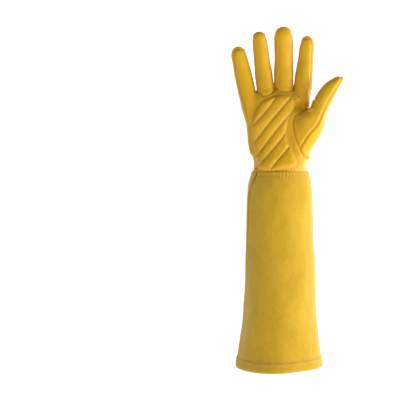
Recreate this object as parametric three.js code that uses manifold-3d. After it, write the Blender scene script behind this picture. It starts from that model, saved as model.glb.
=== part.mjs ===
// A right-hand rose pruning gauntlet: a leather glove with a quilted palm, and a long suede cuff.
// Millimetres. The origin is the middle of the cuff's mouth, where the arm goes in.
// +Z runs up the arm to the fingertips, the palm faces -Y, and the thumb is on the +X side.
import * as THREE from "three";
import { mergeVertices } from "three/addons/utils/BufferGeometryUtils.js";
import Module from "manifold-3d";

const wasm = await Module();
wasm.setup();

// Leather
const HIDE = 1.4; // wall of the grain leather hand
const SUEDE = 1.8; // wall of the suede cuff
const SEAM = 0.3; // clearance between two panels that are sewn edge to edge
const LAP = 0.5; // clearance between two layers that lie on each other

// Cuff
const CUFF_LENGTH = 252; // from the sides of the mouth to the wrist seam
const CUFF_MOUTH_WIDTH = 112;
const CUFF_MOUTH_DEPTH = 98;
const CUFF_WRIST_WIDTH = 74;
const CUFF_WRIST_DEPTH = 58;
const CUFF_SEAM_TURN = 24; // degrees by which the cuff's two seams turn about the arm
const MOUTH_ARCH_BACK = 7; // how far the back of the mouth hangs below its sides
const MOUTH_ARCH_FRONT = 3;
const HEM_HEIGHT = 9;
const HEM_HIDE = 1.2; // leather of the folded hem

// Hand
const TUCK = 9; // how far the hand runs down inside the cuff
const PALM_LENGTH = 103; // from the wrist seam to the crotches of the fingers
const PALM_WIDTH = 88;
const PALM_DEPTH = 32;
const WRIST_WIDTH = 66;
const WRIST_DEPTH = 47;
const PALM_SHIFT = -5; // the knuckles sit towards the little finger
const FINGER_CURL = 9; // how far the middle fingertip comes forward
const FOURCHETTE_WIDTH = 12; // the strips between the fingers, from palm to back
const SEAM_LEAN = 8; // degrees by which the side seams turn about the arm
const GATHER_HEIGHT = 17; // from the wrist seam up to the elastic in the back
const GATHER_SHARE = GATHER_HEIGHT / PALM_LENGTH;
const GATHER_DEPTH = 1.6; // how far the puckers stand out

// Thumb
const THUMB_LENGTH = 109;
const THUMB_LEAN = 29.6; // degrees out from the hand's own direction
const THUMB_FORWARD = 23; // how far the tip comes forward
const THUMB_WIDTH = 34; // across the ball of the thumb, seen from the palm
const THUMB_DEPTH = 35;
const THUMB_ROOT = 27; // its root, up from the wrist seam
const THUMB_OUT = 26; // its root, out from the middle of the wrist
const THUMB_SEAM_TURN = 65; // degrees by which its seam turns from the palm's plane

// Quilted pad
const PAD_THICKNESS = 3.2;
const CHANNEL_WIDTH = 2.4;
const CHANNEL_FLOOR = 1; // leather left under a sewn channel
const CHANNEL_PITCH = 17; // up the palm, from one channel to the next
const CHANNEL_SLOPE = 50; // degrees from level

const FACETS = { cuff: 32, palm: 40, finger: 12, thumb: 16 };
const FAR = 400; // reach of the cutting solids
const BACK = new THREE.Vector3(0, 1, 0);

const wristZ = CUFF_LENGTH;
const crotchZ = wristZ + PALM_LENGTH;

// Fingers: across is the axis at the crotch line as a share of the palm's width, from its middle;
// the other lengths are real. Widths are seen from the palm, outside the leather.
const FINGERS = [
  { name: "little", across: -0.438, lean: -11.3, length: 60.5, base: 22.5, tip: 19.5, depth: 22 },
  { name: "ring", across: -0.155, lean: -6.5, length: 78.5, base: 22, tip: 18.5, depth: 22.5 },
  { name: "middle", across: 0.112, lean: -0.2, length: 85, base: 24.5, tip: 23.5, depth: 23.5 },
  { name: "index", across: 0.382, lean: 7.3, length: 74, base: 23, tip: 18, depth: 23 },
];

// Along is a share of the finger's length above the crotch line, or of the palm's length below it.
// Fill runs from 0 at the tip width to 1 at the base width, and round shrinks a ring at the tip.
const FINGER_RINGS = [
  { along: -0.42, fill: 0.9, deep: 0.8, round: 0.82 },
  { along: -0.12, fill: 1, deep: 1.05, round: 1 },
  { along: 0.12, fill: 1, deep: 1, round: 1 },
  { along: 0.45, fill: 0.62, deep: 0.93, round: 1 },
  { along: 0.74, fill: 0.25, deep: 0.86, round: 1 },
  { along: 0.87, fill: 0, deep: 0.8, round: 0.95 },
  { along: 0.95, fill: 0, deep: 0.74, round: 0.72 },
  { along: 0.988, fill: 0, deep: 0.7, round: 0.4 },
  { along: 1, fill: 0, deep: 0.7, round: 0 },
];

// Up is a share of the palm's length from the wrist seam. Width and depth are shares of the palm's
// own, with wrist the share that comes from the wrist instead, and shift of the palm's shift.
// The rows without a width lie against the inside of the cuff. Round is 1 for an oval, and less
// for a squarer ring.
const PALM_RINGS = [
  { up: -TUCK / PALM_LENGTH, shift: 0, pucker: 0, round: 1 },
  { up: 0.02, shift: 0, pucker: 0, round: 1 },
  { up: 0.08, wrist: 1, width: 1.04, depth: 1.1, shift: 0, pucker: 0.4, round: 1 },
  { up: GATHER_SHARE, wrist: 1, width: 1.03, depth: 0.98, shift: 0, pucker: 1, round: 0.94 },
  { up: GATHER_SHARE + 0.07, wrist: 0.6, width: 0.98, depth: 1, shift: 0.3, pucker: 0, round: 0.9 },
  { up: 0.4, wrist: 0, width: 0.85, depth: 1.03, shift: 1, pucker: 0, round: 0.88 },
  { up: 0.64, wrist: 0, width: 0.905, depth: 1, shift: 1, pucker: 0, round: 0.86 },
  { up: 0.83, wrist: 0, width: 0.96, depth: 0.9, shift: 1, pucker: 0, round: 0.86 },
  { up: 0.94, wrist: 0, width: 0.97, depth: 0.64, shift: 1, pucker: 0, round: 0.86 },
  { up: 1, wrist: 0, width: 0.9, depth: 0.2, shift: 1, pucker: 0, round: 0.86 },
];

// Along is a share of the thumb's length. Bow is sideways towards the index finger, and forward is
// a share of the tip's. Width and depth are shares of those at the ball of the thumb.
const THUMB_RINGS = [
  { along: -0.06, bow: 0.02, forward: 0.02, width: 0.55, depth: 0.5 },
  { along: 0.07, bow: 0.02, forward: 0.2, width: 0.86, depth: 0.84 },
  { along: 0.2, bow: 0.03, forward: 0.4, width: 1, depth: 1 },
  { along: 0.4, bow: 0.047, forward: 0.6, width: 0.84, depth: 0.88 },
  { along: 0.58, bow: 0.058, forward: 0.74, width: 0.69, depth: 0.76 },
  { along: 0.77, bow: 0.04, forward: 0.87, width: 0.58, depth: 0.68 },
  { along: 0.91, bow: 0.016, forward: 0.96, width: 0.5, depth: 0.6 },
  { along: 0.965, bow: 0.004, forward: 0.99, width: 0.36, depth: 0.45 },
  { along: 0.99, bow: 0, forward: 1, width: 0.19, depth: 0.25 },
  { along: 1, bow: 0, forward: 1, width: 0, depth: 0 },
];

// Up is a share of the cuff's length. Flare runs from 0 at the wrist to 1 at the mouth, sag is the
// share of the mouth's arch, and shift moves the ring towards the little finger.
const CUFF_RINGS = [
  { up: 0, flare: 1, sag: 1, shift: 0 },
  { up: 0.06, flare: 0.84, sag: 0.8, shift: 0 },
  { up: 0.14, flare: 0.68, sag: 0.45, shift: 0 },
  { up: 0.27, flare: 0.5, sag: 0.1, shift: 0 },
  { up: 0.42, flare: 0.42, sag: 0, shift: 0 },
  { up: 0.64, flare: 0.37, sag: 0, shift: 0 },
  { up: 0.83, flare: 0.31, sag: 0, shift: 0 },
  { up: 0.93, flare: 0.2, sag: 0, shift: 0 },
  { up: 0.975, flare: 0.08, sag: 0, shift: 0 },
  { up: 1, flare: -0.02, sag: 0, shift: 0 },
];

// The seam that sets the thumb into the palm, and the one behind it: out is a share of the palm's
// width from the middle of the wrist, up of the palm's length from the wrist seam.
const THUMB_SEAM_FRONT = [
  { out: 0.9, up: 0.1 },
  { out: 0.42, up: 0.14 },
  { out: 0.31, up: 0.24 },
  { out: 0.25, up: 0.35 },
  { out: 0.2, up: 0.5 },
  { out: 0.185, up: 0.61 },
  { out: 0.21, up: 0.69 },
  { out: 0.31, up: 0.755 },
  { out: 0.44, up: 0.84 },
  { out: 0.5, up: 1.05 },
  { out: 0.6, up: 1.7 },
];
const THUMB_SEAM_BACK = [
  { out: 0.9, up: 0.1 },
  { out: 0.42, up: 0.13 },
  { out: 0.31, up: 0.2 },
  { out: 0.31, up: 0.42 },
  { out: 0.36, up: 0.66 },
  { out: 0.44, up: 0.84 },
  { out: 0.5, up: 1.05 },
  { out: 0.6, up: 1.7 },
];

// Outline of the quilted pad, in the same shares as the thumb's seam.
const PAD_OUTLINE = [
  { out: -0.33, up: 0.1 },
  { out: -0.4, up: 0.36 },
  { out: -0.405, up: 0.62 },
  { out: -0.33, up: 0.8 },
  { out: -0.2, up: 0.9 },
  { out: 0, up: 0.95 },
  { out: 0.14, up: 0.95 },
  { out: 0.215, up: 0.88 },
  { out: 0.19, up: 0.78 },
  { out: 0.13, up: 0.68 },
  { out: 0.09, up: 0.5 },
  { out: 0.12, up: 0.36 },
  { out: 0.21, up: 0.2 },
  { out: 0.235, up: 0.1 },
  { out: 0.17, up: 0.04 },
  { out: -0.06, up: 0.015 },
  { out: -0.27, up: 0.02 },
];

const radians = THREE.MathUtils.degToRad;
const mix = THREE.MathUtils.lerp;

// A closed geometry as a solid that can be cut and joined.
function solid(geometry) {
  const bare = new THREE.BufferGeometry();
  bare.setAttribute("position", geometry.getAttribute("position"));
  bare.setIndex(geometry.index);
  const merged = mergeVertices(bare, 1e-4);
  return new wasm.Manifold(
    new wasm.Mesh({
      numProp: 3,
      vertProperties: new Float32Array(merged.attributes.position.array),
      triVerts: new Uint32Array(merged.index.array),
    }),
  );
}

const join = (solids) => solids.reduce((sum, next) => sum.add(next));
const cut = (body, solids) => solids.reduce((rest, next) => rest.subtract(next), body);

const power = (value, exponent) => Math.sign(value) * Math.abs(value) ** exponent;

// A ring is an oval, or a squarer one, at a centre, across and back of it. Its offset moves a point.
function ringPoint(ring, angle) {
  const round = ring.round ?? 1;
  return ring.centre
    .clone()
    .addScaledVector(ring.across, ring.halfWidth * power(Math.cos(angle), round))
    .addScaledVector(ring.back, ring.halfDepth * power(Math.sin(angle), round))
    .add(ring.offset ? ring.offset(angle) : new THREE.Vector3());
}

// A solid lofted through rings from the lowest to the highest, closed by a fan at each end.
function loft(rings, facets) {
  const points = [];
  const faces = [];
  for (const ring of rings) {
    for (let i = 0; i < facets; i++) points.push(ringPoint(ring, (2 * Math.PI * i) / facets));
  }
  const first = points.push(rings[0].centre) - 1;
  const last = points.push(rings[rings.length - 1].centre) - 1;
  const top = (rings.length - 1) * facets;
  for (let i = 0; i < facets; i++) {
    const next = (i + 1) % facets;
    for (let row = 0; row < top; row += facets) {
      faces.push(row + i, row + next, row + facets + next);
      faces.push(row + i, row + facets + next, row + facets + i);
    }
    faces.push(first, next, i);
    faces.push(last, top + i, top + next);
  }
  const geometry = new THREE.BufferGeometry().setFromPoints(points);
  return solid(geometry.setIndex(faces));
}

// An outline of (x, z) points carried along Y.
function prismAlongY(outline, fromY, toY) {
  const shape = new THREE.Shape(outline.map(({ x, z }) => new THREE.Vector2(x, z)));
  const geometry = new THREE.ExtrudeGeometry(shape, { depth: toY - fromY, bevelEnabled: false });
  return solid(geometry.rotateX(Math.PI / 2).translate(0, toY, 0));
}

// Everything whose depth lies between two distances behind the hand's middle surface. That surface
// curls forward with the fingers, and may turn about the arm.
function depthBand(fromY, toY, turn = SEAM_LEAN) {
  const levels = [-0.3, 0, 0.3, 0.5, 0.7, 0.85, 1, 1.3].map((share) => crotchZ + share * longest);
  const front = levels.map((z) => new THREE.Vector2(middleY(z) + fromY, z));
  const back = levels.map((z) => new THREE.Vector2(middleY(z) + toY, z));
  const low = [toY, fromY].map((y) => new THREE.Vector2(y, -FAR));
  const shape = new THREE.Shape([...front, ...back.reverse(), ...low]);
  const geometry = new THREE.ExtrudeGeometry(shape, { depth: 2 * FAR, bevelEnabled: false });
  geometry.translate(0, 0, -FAR);
  geometry.applyMatrix4(new THREE.Matrix4().set(0, 0, 1, 0, 1, 0, 0, 0, 0, 1, 0, 0, 0, 0, 0, 1));
  const lean = Math.tan(radians(turn));
  geometry.applyMatrix4(new THREE.Matrix4().set(1, 0, 0, 0, lean, 1, 0, 0, 0, 0, 1, 0, 0, 0, 0, 1));
  return solid(geometry);
}

const longest = Math.max(...FINGERS.map((finger) => finger.length));

// Depth of the hand's middle surface at a height: flat in the palm, curling forward above it.
function middleY(z) {
  const share = Math.max(0, (z - crotchZ) / longest);
  return -FINGER_CURL * share * share;
}

// A finger's axis at a height, as x.
function axisX(finger, z) {
  const crotchX = PALM_SHIFT + finger.across * PALM_WIDTH;
  return crotchX + (z - crotchZ) * Math.tan(radians(finger.lean));
}

function fingerTube(finger, grow) {
  const lean = radians(finger.lean);
  const rings = FINGER_RINGS.map(({ along, fill, deep, round }) => {
    const reach = along < 0 ? along * PALM_LENGTH : along * finger.length;
    const z = crotchZ + reach * Math.cos(lean) + (along === 1 ? grow : 0);
    const width = mix(finger.tip, finger.base, fill) * round;
    const halfDepth = (finger.depth * deep * (along < 0 ? 1 : round)) / 2;
    const closed = round === 0;
    return {
      centre: new THREE.Vector3(axisX(finger, z), middleY(z), z),
      across: new THREE.Vector3(Math.cos(lean), 0, -Math.sin(lean)),
      back: BACK,
      halfWidth: closed ? 0 : width / 2 + grow,
      halfDepth: closed ? 0 : halfDepth + grow,
    };
  });
  return loft(rings, FACETS.finger);
}

// The palm, with the puckers that the elastic draws in the back of the wrist.
function palmTube(grow, footDrop) {
  const step = (2 * Math.PI) / FACETS.palm;
  const nest = 2 * (SUEDE + LAP);
  const rings = PALM_RINGS.map(({ up, wrist, width, depth, shift, pucker, round }, row) => {
    const across = width ? mix(PALM_WIDTH, WRIST_WIDTH, wrist) * width : CUFF_WRIST_WIDTH - nest;
    const deep = depth ? mix(PALM_DEPTH, WRIST_DEPTH, wrist) * depth : CUFF_WRIST_DEPTH - nest;
    const top = row === PALM_RINGS.length - 1 ? grow : 0;
    const foot = row === 0 ? footDrop : 0;
    return {
      centre: new THREE.Vector3(PALM_SHIFT * shift, 0, wristZ + up * PALM_LENGTH + top - foot),
      across: new THREE.Vector3(1, 0, 0),
      back: BACK,
      halfWidth: across / 2 + grow,
      halfDepth: deep / 2 + grow,
      round,
      offset: (angle) => {
        const ridge = Math.round(angle / step) % 2 ? 1 : 0;
        const out = GATHER_DEPTH * pucker * ridge * Math.max(0, Math.sin(angle)) ** 0.3;
        return new THREE.Vector3(out * Math.cos(angle), out * Math.sin(angle), 0);
      },
    };
  });
  return loft(rings, FACETS.palm);
}

const thumbUp = new THREE.Vector3(
  Math.sin(radians(THUMB_LEAN)),
  -THUMB_FORWARD / THUMB_LENGTH,
  Math.cos(radians(THUMB_LEAN)),
);
const thumbOut = new THREE.Vector3(thumbUp.z, 0, -thumbUp.x);
const thumbRoot = new THREE.Vector3(THUMB_OUT, 0, wristZ + THUMB_ROOT);

function thumbTube(grow) {
  const back = thumbUp.clone().normalize().cross(thumbOut).normalize();
  const rings = THUMB_RINGS.map(({ along, bow, forward, width, depth }) => {
    const reach = along * THUMB_LENGTH + (along === 1 ? grow : 0);
    const centre = thumbRoot
      .clone()
      .addScaledVector(thumbUp, reach)
      .addScaledVector(thumbOut, -bow * THUMB_LENGTH);
    centre.y = -forward * THUMB_FORWARD;
    const closed = width === 0;
    return {
      centre,
      across: thumbOut,
      back,
      halfWidth: closed ? 0 : (width * THUMB_WIDTH) / 2 + grow,
      halfDepth: closed ? 0 : (depth * THUMB_DEPTH) / 2 + grow,
    };
  });
  return loft(rings, FACETS.thumb);
}

// The filled hand, grown by a distance all over. A negative one gives the hollow.
function hand(grow, footDrop = 0) {
  return join([
    palmTube(grow, footDrop),
    thumbTube(grow),
    ...FINGERS.map((finger) => fingerTube(finger, grow)),
  ]);
}

// The filled cuff between two shares of its length, grown by a distance all over.
function cuffRing({ up, flare, sag, shift }, grow, drop) {
  const width = mix(CUFF_WRIST_WIDTH, CUFF_MOUTH_WIDTH, flare);
  const depth = mix(CUFF_WRIST_DEPTH, CUFF_MOUTH_DEPTH, flare);
  return {
    centre: new THREE.Vector3(PALM_SHIFT * shift, 0, up * CUFF_LENGTH + drop),
    across: new THREE.Vector3(1, 0, 0),
    back: BACK,
    halfWidth: width / 2 + grow,
    halfDepth: depth / 2 + grow,
    offset: (angle) => {
      const arch = angle < Math.PI ? MOUTH_ARCH_BACK : MOUTH_ARCH_FRONT;
      return new THREE.Vector3(0, 0, -sag * arch * Math.sin(angle) ** 2);
    },
  };
}

function cuffTube(grow, footDrop, topRise) {
  const rings = CUFF_RINGS.map((row) => cuffRing(row, grow, 0));
  if (footDrop) rings.unshift(cuffRing(CUFF_RINGS[0], grow, -footDrop));
  if (topRise) rings.push(cuffRing(CUFF_RINGS[CUFF_RINGS.length - 1], grow, topRise));
  return loft(rings, FACETS.cuff);
}

// The lowest stretch of the cuff, up to a height above its edge.
function mouthTube(grow, footDrop, height) {
  const first = CUFF_RINGS[0];
  const second = CUFF_RINGS[1];
  const share = height / (second.up * CUFF_LENGTH);
  const topRow = { ...first, up: first.up, flare: mix(first.flare, second.flare, share) };
  const rings = [cuffRing(first, grow, -footDrop), cuffRing(first, grow, 0)];
  rings.push(cuffRing({ ...topRow, sag: mix(first.sag, second.sag, share) }, grow, height));
  return loft(footDrop ? rings : rings.slice(1), FACETS.cuff);
}

// The outline of the space between two fingers, from axis to axis, down into the palm's hollow.
function gapOutline(left, right, grow) {
  const reach = (finger) => crotchZ + finger.length * Math.cos(radians(finger.lean));
  const stop = (finger) => reach(finger) - finger.tip * 0.42 + grow;
  const low = crotchZ - 0.11 * PALM_LENGTH - grow;
  return [
    { x: axisX(left, low) - grow, z: low },
    { x: axisX(right, low) + grow, z: low },
    { x: axisX(right, stop(right)) + grow, z: stop(right) },
    { x: axisX(left, stop(left)) - grow, z: stop(left) },
  ];
}

const named = (name) => FINGERS.find((finger) => finger.name === name);

// The outline of one finger above its base seam, from gap to gap.
function fingerOutline(left, finger, right, grow) {
  const low = crotchZ - 0.035 * PALM_LENGTH - grow;
  const high = crotchZ + 1.2 * finger.length;
  const between = (a, b, z) => (axisX(a, z) + axisX(b, z)) / 2;
  return [
    { x: between(left, finger, low) - grow, z: low },
    { x: axisX(finger, low), z: low - 0.02 * PALM_LENGTH },
    { x: between(finger, right, low) + grow, z: low },
    { x: between(finger, right, high) + grow, z: high },
    { x: between(left, finger, high) - grow, z: high },
  ];
}

const onPalm = ({ out, up }) => ({ x: out * PALM_WIDTH, z: wristZ + up * PALM_LENGTH });

// A line of (x, z) points moved sideways, to the left of its direction.
function moved(line, distance) {
  return line.map((point, i) => {
    const before = line[Math.max(0, i - 1)];
    const after = line[Math.min(line.length - 1, i + 1)];
    const run = new THREE.Vector2(after.x - before.x, after.z - before.z).normalize();
    return { x: point.x - run.y * distance, z: point.z + run.x * distance };
  });
}

// Everything on the thumb's side of its seam.
function thumbRegion(grow, bands) {
  const halves = [
    { seam: THUMB_SEAM_FRONT, band: bands.front },
    { seam: THUMB_SEAM_BACK, band: bands.back },
  ];
  return join(
    halves.map(({ seam, band }) => {
      const line = moved(seam.map(onPalm), grow);
      const outside = [line[line.length - 1], line[0]].map(({ z }) => ({ x: FAR, z }));
      return prismAlongY([...line, ...outside], -FAR, FAR).intersect(band);
    }),
  );
}

// Half of space, on the side of a plane that its normal points to.
function halfSpace(point, normal, distance) {
  const box = new THREE.BoxGeometry(2 * FAR, 2 * FAR, 2 * FAR).translate(0, 0, FAR);
  const turn = new THREE.Quaternion().setFromUnitVectors(new THREE.Vector3(0, 0, 1), normal);
  const at = point.clone().addScaledVector(normal, distance);
  return solid(box.applyQuaternion(turn).translate(at.x, at.y, at.z));
}

const half = SEAM / 2;

function handPanels() {
  const shell = hand(0).subtract(hand(-HIDE, TUCK));
  const front = depthBand(-FAR, -half);
  const back = depthBand(half, FAR);
  const thumb = thumbRegion(0, { front: depthBand(-FAR, 0), back: depthBand(0, FAR) });
  const thumbSpace = thumbRegion(SEAM, { front: depthBand(-FAR, half), back: depthBand(-half, FAR) });
  const strip = depthBand(-FOURCHETTE_WIDTH / 2, FOURCHETTE_WIDTH / 2, 0);
  const stripSpace = depthBand(-FOURCHETTE_WIDTH / 2 - SEAM, FOURCHETTE_WIDTH / 2 + SEAM, 0);
  const pairs = FINGERS.slice(1).map((right, i) => ({ left: FINGERS[i], right }));
  const spaces = pairs.map(({ left, right }) =>
    prismAlongY(gapOutline(left, right, SEAM), -FAR, FAR).intersect(stripSpace),
  );
  const panels = {};
  for (const { left, right } of pairs) {
    const gap = prismAlongY(gapOutline(left, right, 0), -FAR, FAR).intersect(strip);
    panels[`fourchette_${left.name}_${right.name}`] = shell.intersect(gap);
  }
  const sewnOn = [
    [named("little"), named("ring"), named("middle")],
    [named("ring"), named("middle"), named("index")],
  ];
  const frontShell = cut(shell.intersect(front), spaces);
  for (const fingers of sewnOn) {
    const outline = prismAlongY(fingerOutline(...fingers, -half), -FAR, FAR);
    panels[`${fingers[1].name}_front`] = frontShell.intersect(outline);
  }
  const sewnOnSpaces = sewnOn.map((fingers) =>
    prismAlongY(fingerOutline(...fingers, half), -FAR, FAR),
  );
  panels.palm_front = cut(frontShell, [...sewnOnSpaces, thumbSpace]);
  panels.back_panel = cut(shell.intersect(back), [...spaces, thumbSpace]);
  const turn = radians(THUMB_SEAM_TURN);
  const normal = thumbOut
    .clone()
    .multiplyScalar(Math.sin(turn))
    .addScaledVector(thumbUp.clone().normalize().cross(thumbOut), Math.cos(turn))
    .normalize();
  panels.thumb_back = shell.intersect(thumb).intersect(halfSpace(thumbRoot, normal, half));
  panels.thumb_front = shell
    .intersect(thumb)
    .intersect(halfSpace(thumbRoot, normal.clone().negate(), half));
  return panels;
}

// The pad lies on the palm's front, with slanting channels sewn down into it.
function palmPad() {
  const outline = prismAlongY(PAD_OUTLINE.map(onPalm), -FAR, 0);
  const plate = hand(LAP + PAD_THICKNESS).subtract(hand(LAP)).intersect(outline);
  const floor = hand(LAP + CHANNEL_FLOOR);
  const slope = radians(CHANNEL_SLOPE);
  const middle = onPalm({ out: -0.06, up: 0.5 });
  const channels = [-2, -1, 0, 1, 2].map((place) => {
    const z = middle.z + (place - 0.1) * CHANNEL_PITCH;
    const line = [-PALM_WIDTH, PALM_WIDTH].map((run) => ({
      x: middle.x + run * Math.cos(slope),
      z: z + run * Math.sin(slope),
    }));
    const sides = [...moved(line, -CHANNEL_WIDTH / 2), ...moved(line, CHANNEL_WIDTH / 2).reverse()];
    return prismAlongY(sides, -FAR, 0).subtract(floor);
  });
  return cut(plate, channels);
}

function cuffPanels() {
  const wall = cuffTube(0, 0, 0).subtract(cuffTube(-SUEDE, HEM_HEIGHT, TUCK));
  const lap = LAP + HEM_HIDE;
  const band = mouthTube(lap, lap, HEM_HEIGHT);
  const bore = mouthTube(-SUEDE - lap, HEM_HEIGHT, 2 * HEM_HEIGHT);
  const slot = mouthTube(LAP, LAP, 2 * HEM_HEIGHT).subtract(
    mouthTube(-SUEDE - LAP, HEM_HEIGHT, 3 * HEM_HEIGHT),
  );
  return {
    cuff_front: wall.intersect(depthBand(-FAR, -half, CUFF_SEAM_TURN)),
    cuff_back: wall.intersect(depthBand(half, FAR, CUFF_SEAM_TURN)),
    cuff_hem: band.subtract(bore).subtract(slot),
  };
}

const grain = () => new THREE.MeshStandardMaterial({ color: 0xd9a42c, roughness: 0.5, metalness: 0 });
const suede = () => new THREE.MeshStandardMaterial({ color: 0xc9a335, roughness: 0.95, metalness: 0 });

function mesh(name, body, material) {
  const { vertProperties, triVerts } = body.getMesh();
  const geometry = new THREE.BufferGeometry();
  geometry.setAttribute("position", new THREE.BufferAttribute(vertProperties, 3));
  geometry.setIndex(new THREE.BufferAttribute(triVerts, 1));
  geometry.computeVertexNormals();
  const made = new THREE.Mesh(geometry, material);
  made.name = name;
  return made;
}

const gauntlet = new THREE.Group();
for (const [name, body] of Object.entries(handPanels())) gauntlet.add(mesh(name, body, grain()));
gauntlet.add(mesh("palm_pad", palmPad(), grain()));
for (const [name, body] of Object.entries(cuffPanels())) gauntlet.add(mesh(name, body, suede()));

export default gauntlet;
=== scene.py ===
"""Dresses the packed rose pruning gauntlet: golden grain leather for the hand, with its seams,
quilted palm pad and gathered wrist, and napped suede for the long cuff.

Metres, in the CAD's own frame: +Z towards the fingertips, the palm faces -Y, the thumb is at +X.
"""

import math
from collections import namedtuple

import bpy
import numpy as np
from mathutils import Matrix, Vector


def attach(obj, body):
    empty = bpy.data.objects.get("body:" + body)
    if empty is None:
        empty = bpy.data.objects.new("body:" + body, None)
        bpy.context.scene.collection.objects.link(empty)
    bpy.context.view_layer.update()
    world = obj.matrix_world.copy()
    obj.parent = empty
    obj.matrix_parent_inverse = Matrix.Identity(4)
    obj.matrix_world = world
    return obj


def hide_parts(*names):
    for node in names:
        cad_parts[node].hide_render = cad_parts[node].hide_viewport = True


bl_info = {
    "name": "Rose pruning gauntlet",
    "version": (1, 0, 0),
    "blender": (4, 5, 0),
    "location": "View3D > Sidebar > Gauntlet",
    "description": "Leather and suede for the packed rose pruning gauntlet",
    "category": "Object",
}

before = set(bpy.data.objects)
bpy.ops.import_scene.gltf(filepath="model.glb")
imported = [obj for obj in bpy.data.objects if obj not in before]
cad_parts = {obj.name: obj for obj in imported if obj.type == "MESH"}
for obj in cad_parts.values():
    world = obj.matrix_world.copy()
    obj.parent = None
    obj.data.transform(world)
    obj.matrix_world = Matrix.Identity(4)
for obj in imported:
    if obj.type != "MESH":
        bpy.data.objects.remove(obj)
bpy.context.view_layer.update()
MM = 0.001

# Sizes of the gauntlet, close to those of the CAD's solids. A pair is a width and a depth.
CUFF_LENGTH = 0.252
CUFF_MOUTH = (0.112, 0.098)
CUFF_WRIST = (0.074, 0.058)
PALM_LENGTH = 0.103
PALM_WIDTH = 0.088
THUMB_LENGTH = 0.107
THUMB = (0.034, 0.035)
CROTCH_Z = CUFF_LENGTH + PALM_LENGTH

# The leather reaches down into the cuff by the tuck, and is gathered at a height above the wrist.
TUCK = 0.009
GATHER = 0.017

# How far the fingers' roots lie off the cuff's middle, how far the longest finger's tip comes
# forward, and how wide the strips between the fingers are.
PALM_SHIFT = -0.005
FINGER_CURL = 0.009
FOURCHETTE = 0.012

# The thumb's root is across from the middle and above the wrist. The thumb leans out by an angle and
# its tip comes forward.
THUMB_ROOT = (0.026, 0.027)
THUMB_LEAN = math.radians(29.6)
THUMB_FORWARD = 0.023

# How far the edge of the cuff's mouth is arched down, and tilted down to the little finger's side: at
# the sides, and how much more towards the middle of the back and front.
MOUTH_ARCH = {"back": 0.007, "front": 0.0024}
MOUTH_TILT = (0.0012, 0.0022)

# The angle of the cuff's side seam on the thumb's side, and about the radius of the cuff.
SEAM_NEAR = math.radians(34)
CUFF_RADIUS = 0.041

# A finger starts across the palm by a share of its width and leans by an angle. It has a length, a
# width at its base and tip, and a depth. Its tip swings to the little finger's side by the bend, and
# is rounded over the cap, a share of the tip's width.
Finger = namedtuple("Finger", "name across lean length base tip depth bend cap")
FINGERS = [
    Finger("little", -0.444, math.radians(-11.3), 0.0592, 0.0225, 0.0195, 0.022, 0.0005, 0.55),
    Finger("ring", -0.160, math.radians(-6.5), 0.0774, 0.022, 0.0185, 0.0225, 0.001, 0.55),
    Finger("middle", 0.104, math.radians(-0.2), 0.0832, 0.0240, 0.0232, 0.0235, 0.0006, 0.55),
    Finger("index", 0.373, math.radians(7.8), 0.0718, 0.0226, 0.0178, 0.023, 0.0021, 0.72),
]
LONGEST = max(finger.length for finger in FINGERS)

# Along a finger, as a share of its length above the crotch and of the palm's below it, down to its
# root. Fill is 1 at the width of its base and 0 at the width of its tip. Deep is a share of its
# depth. It swings by this power of the way up.
FINGER_ROOT = 0.42
FINGER_SWING = 1.6
FINGER_ALONG = [-FINGER_ROOT, -0.12, 0.12, 0.45, 0.74, 0.87, 1.0]
FINGER_FILL = [-2.4, 0.96, 1.0, 0.62, 0.25, 0.0, 0.0]
FINGER_DEEP = [0.8, 1.03, 1.0, 0.93, 0.86, 0.82, 0.8]

# Up the palm, as a share of its length from the wrist seam. The half widths, half depths and middles
# are in millimetres. The power, over 2, makes its oval fuller at the corners.
PALM_POWER = 2.25
PALM_UP = [-0.3, 0.02, 0.08, 0.165, 0.235, 0.4, 0.64, 0.83, 1.0]
PALM_HALF_WIDTH = [34.7, 34.7, 34.3, 34.8, 37.5, 37.8, 39.4, 38.8, 41.4]
PALM_HALF_DEPTH = [26.7, 26.7, 25.8, 23.0, 20.5, 16.5, 16.0, 14.8, 13.6]
PALM_MIDDLE = [0.0, 0.0, 0.0, -0.7, -2.4, -5.1, -4.6, -2.6, -4.2]

# Along the thumb, as a share of its length. The bow to the hand's side is a share of its length too,
# and the rest are shares of its forward reach, its width and its depth.
THUMB_ALONG = [-0.1, 0.07, 0.2, 0.33, 0.4, 0.5, 0.6, 0.7, 0.79, 0.87, 0.94, 1.0]
THUMB_BOW = [0.035, 0.04, 0.045, 0.035, 0.034, 0.052, 0.064, 0.067, 0.062, 0.051, 0.033, 0.010]
THUMB_AHEAD = [0.0, 0.13, 0.3, 0.45, 0.53, 0.63, 0.72, 0.8, 0.87, 0.93, 0.98, 1.0]
THUMB_WIDE = [0.6, 0.86, 1.01, 0.92, 0.86, 0.77, 0.68, 0.62, 0.58, 0.48, 0.35, 0.22]
THUMB_DEEP = [0.55, 0.8, 0.88, 0.88, 0.86, 0.8, 0.74, 0.7, 0.64, 0.55, 0.42, 0.3]
# Where the seam between the thumb's front and back runs: how far up the thumb, as a share of its
# length, and how far sideways from the middle of its front, in millimetres.
THUMB_SEAM_ALONG = [0.02, 0.27, 0.43, 0.6, 0.75, 0.91, 1.0]
THUMB_SEAM_SIDE = [-0.2, 3.0, 5.0, 6.4, 6.2, 4.6, 0.5]

# How the parts of the hand melt into each other, and where the thumb's web thins out on the way up.
FINGER_MELT = 0.0025
PALM_MELT = 0.007
WEB_MELT = (0.012, 0.0025)
WEB_Z = (0.309, 0.334)

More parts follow.
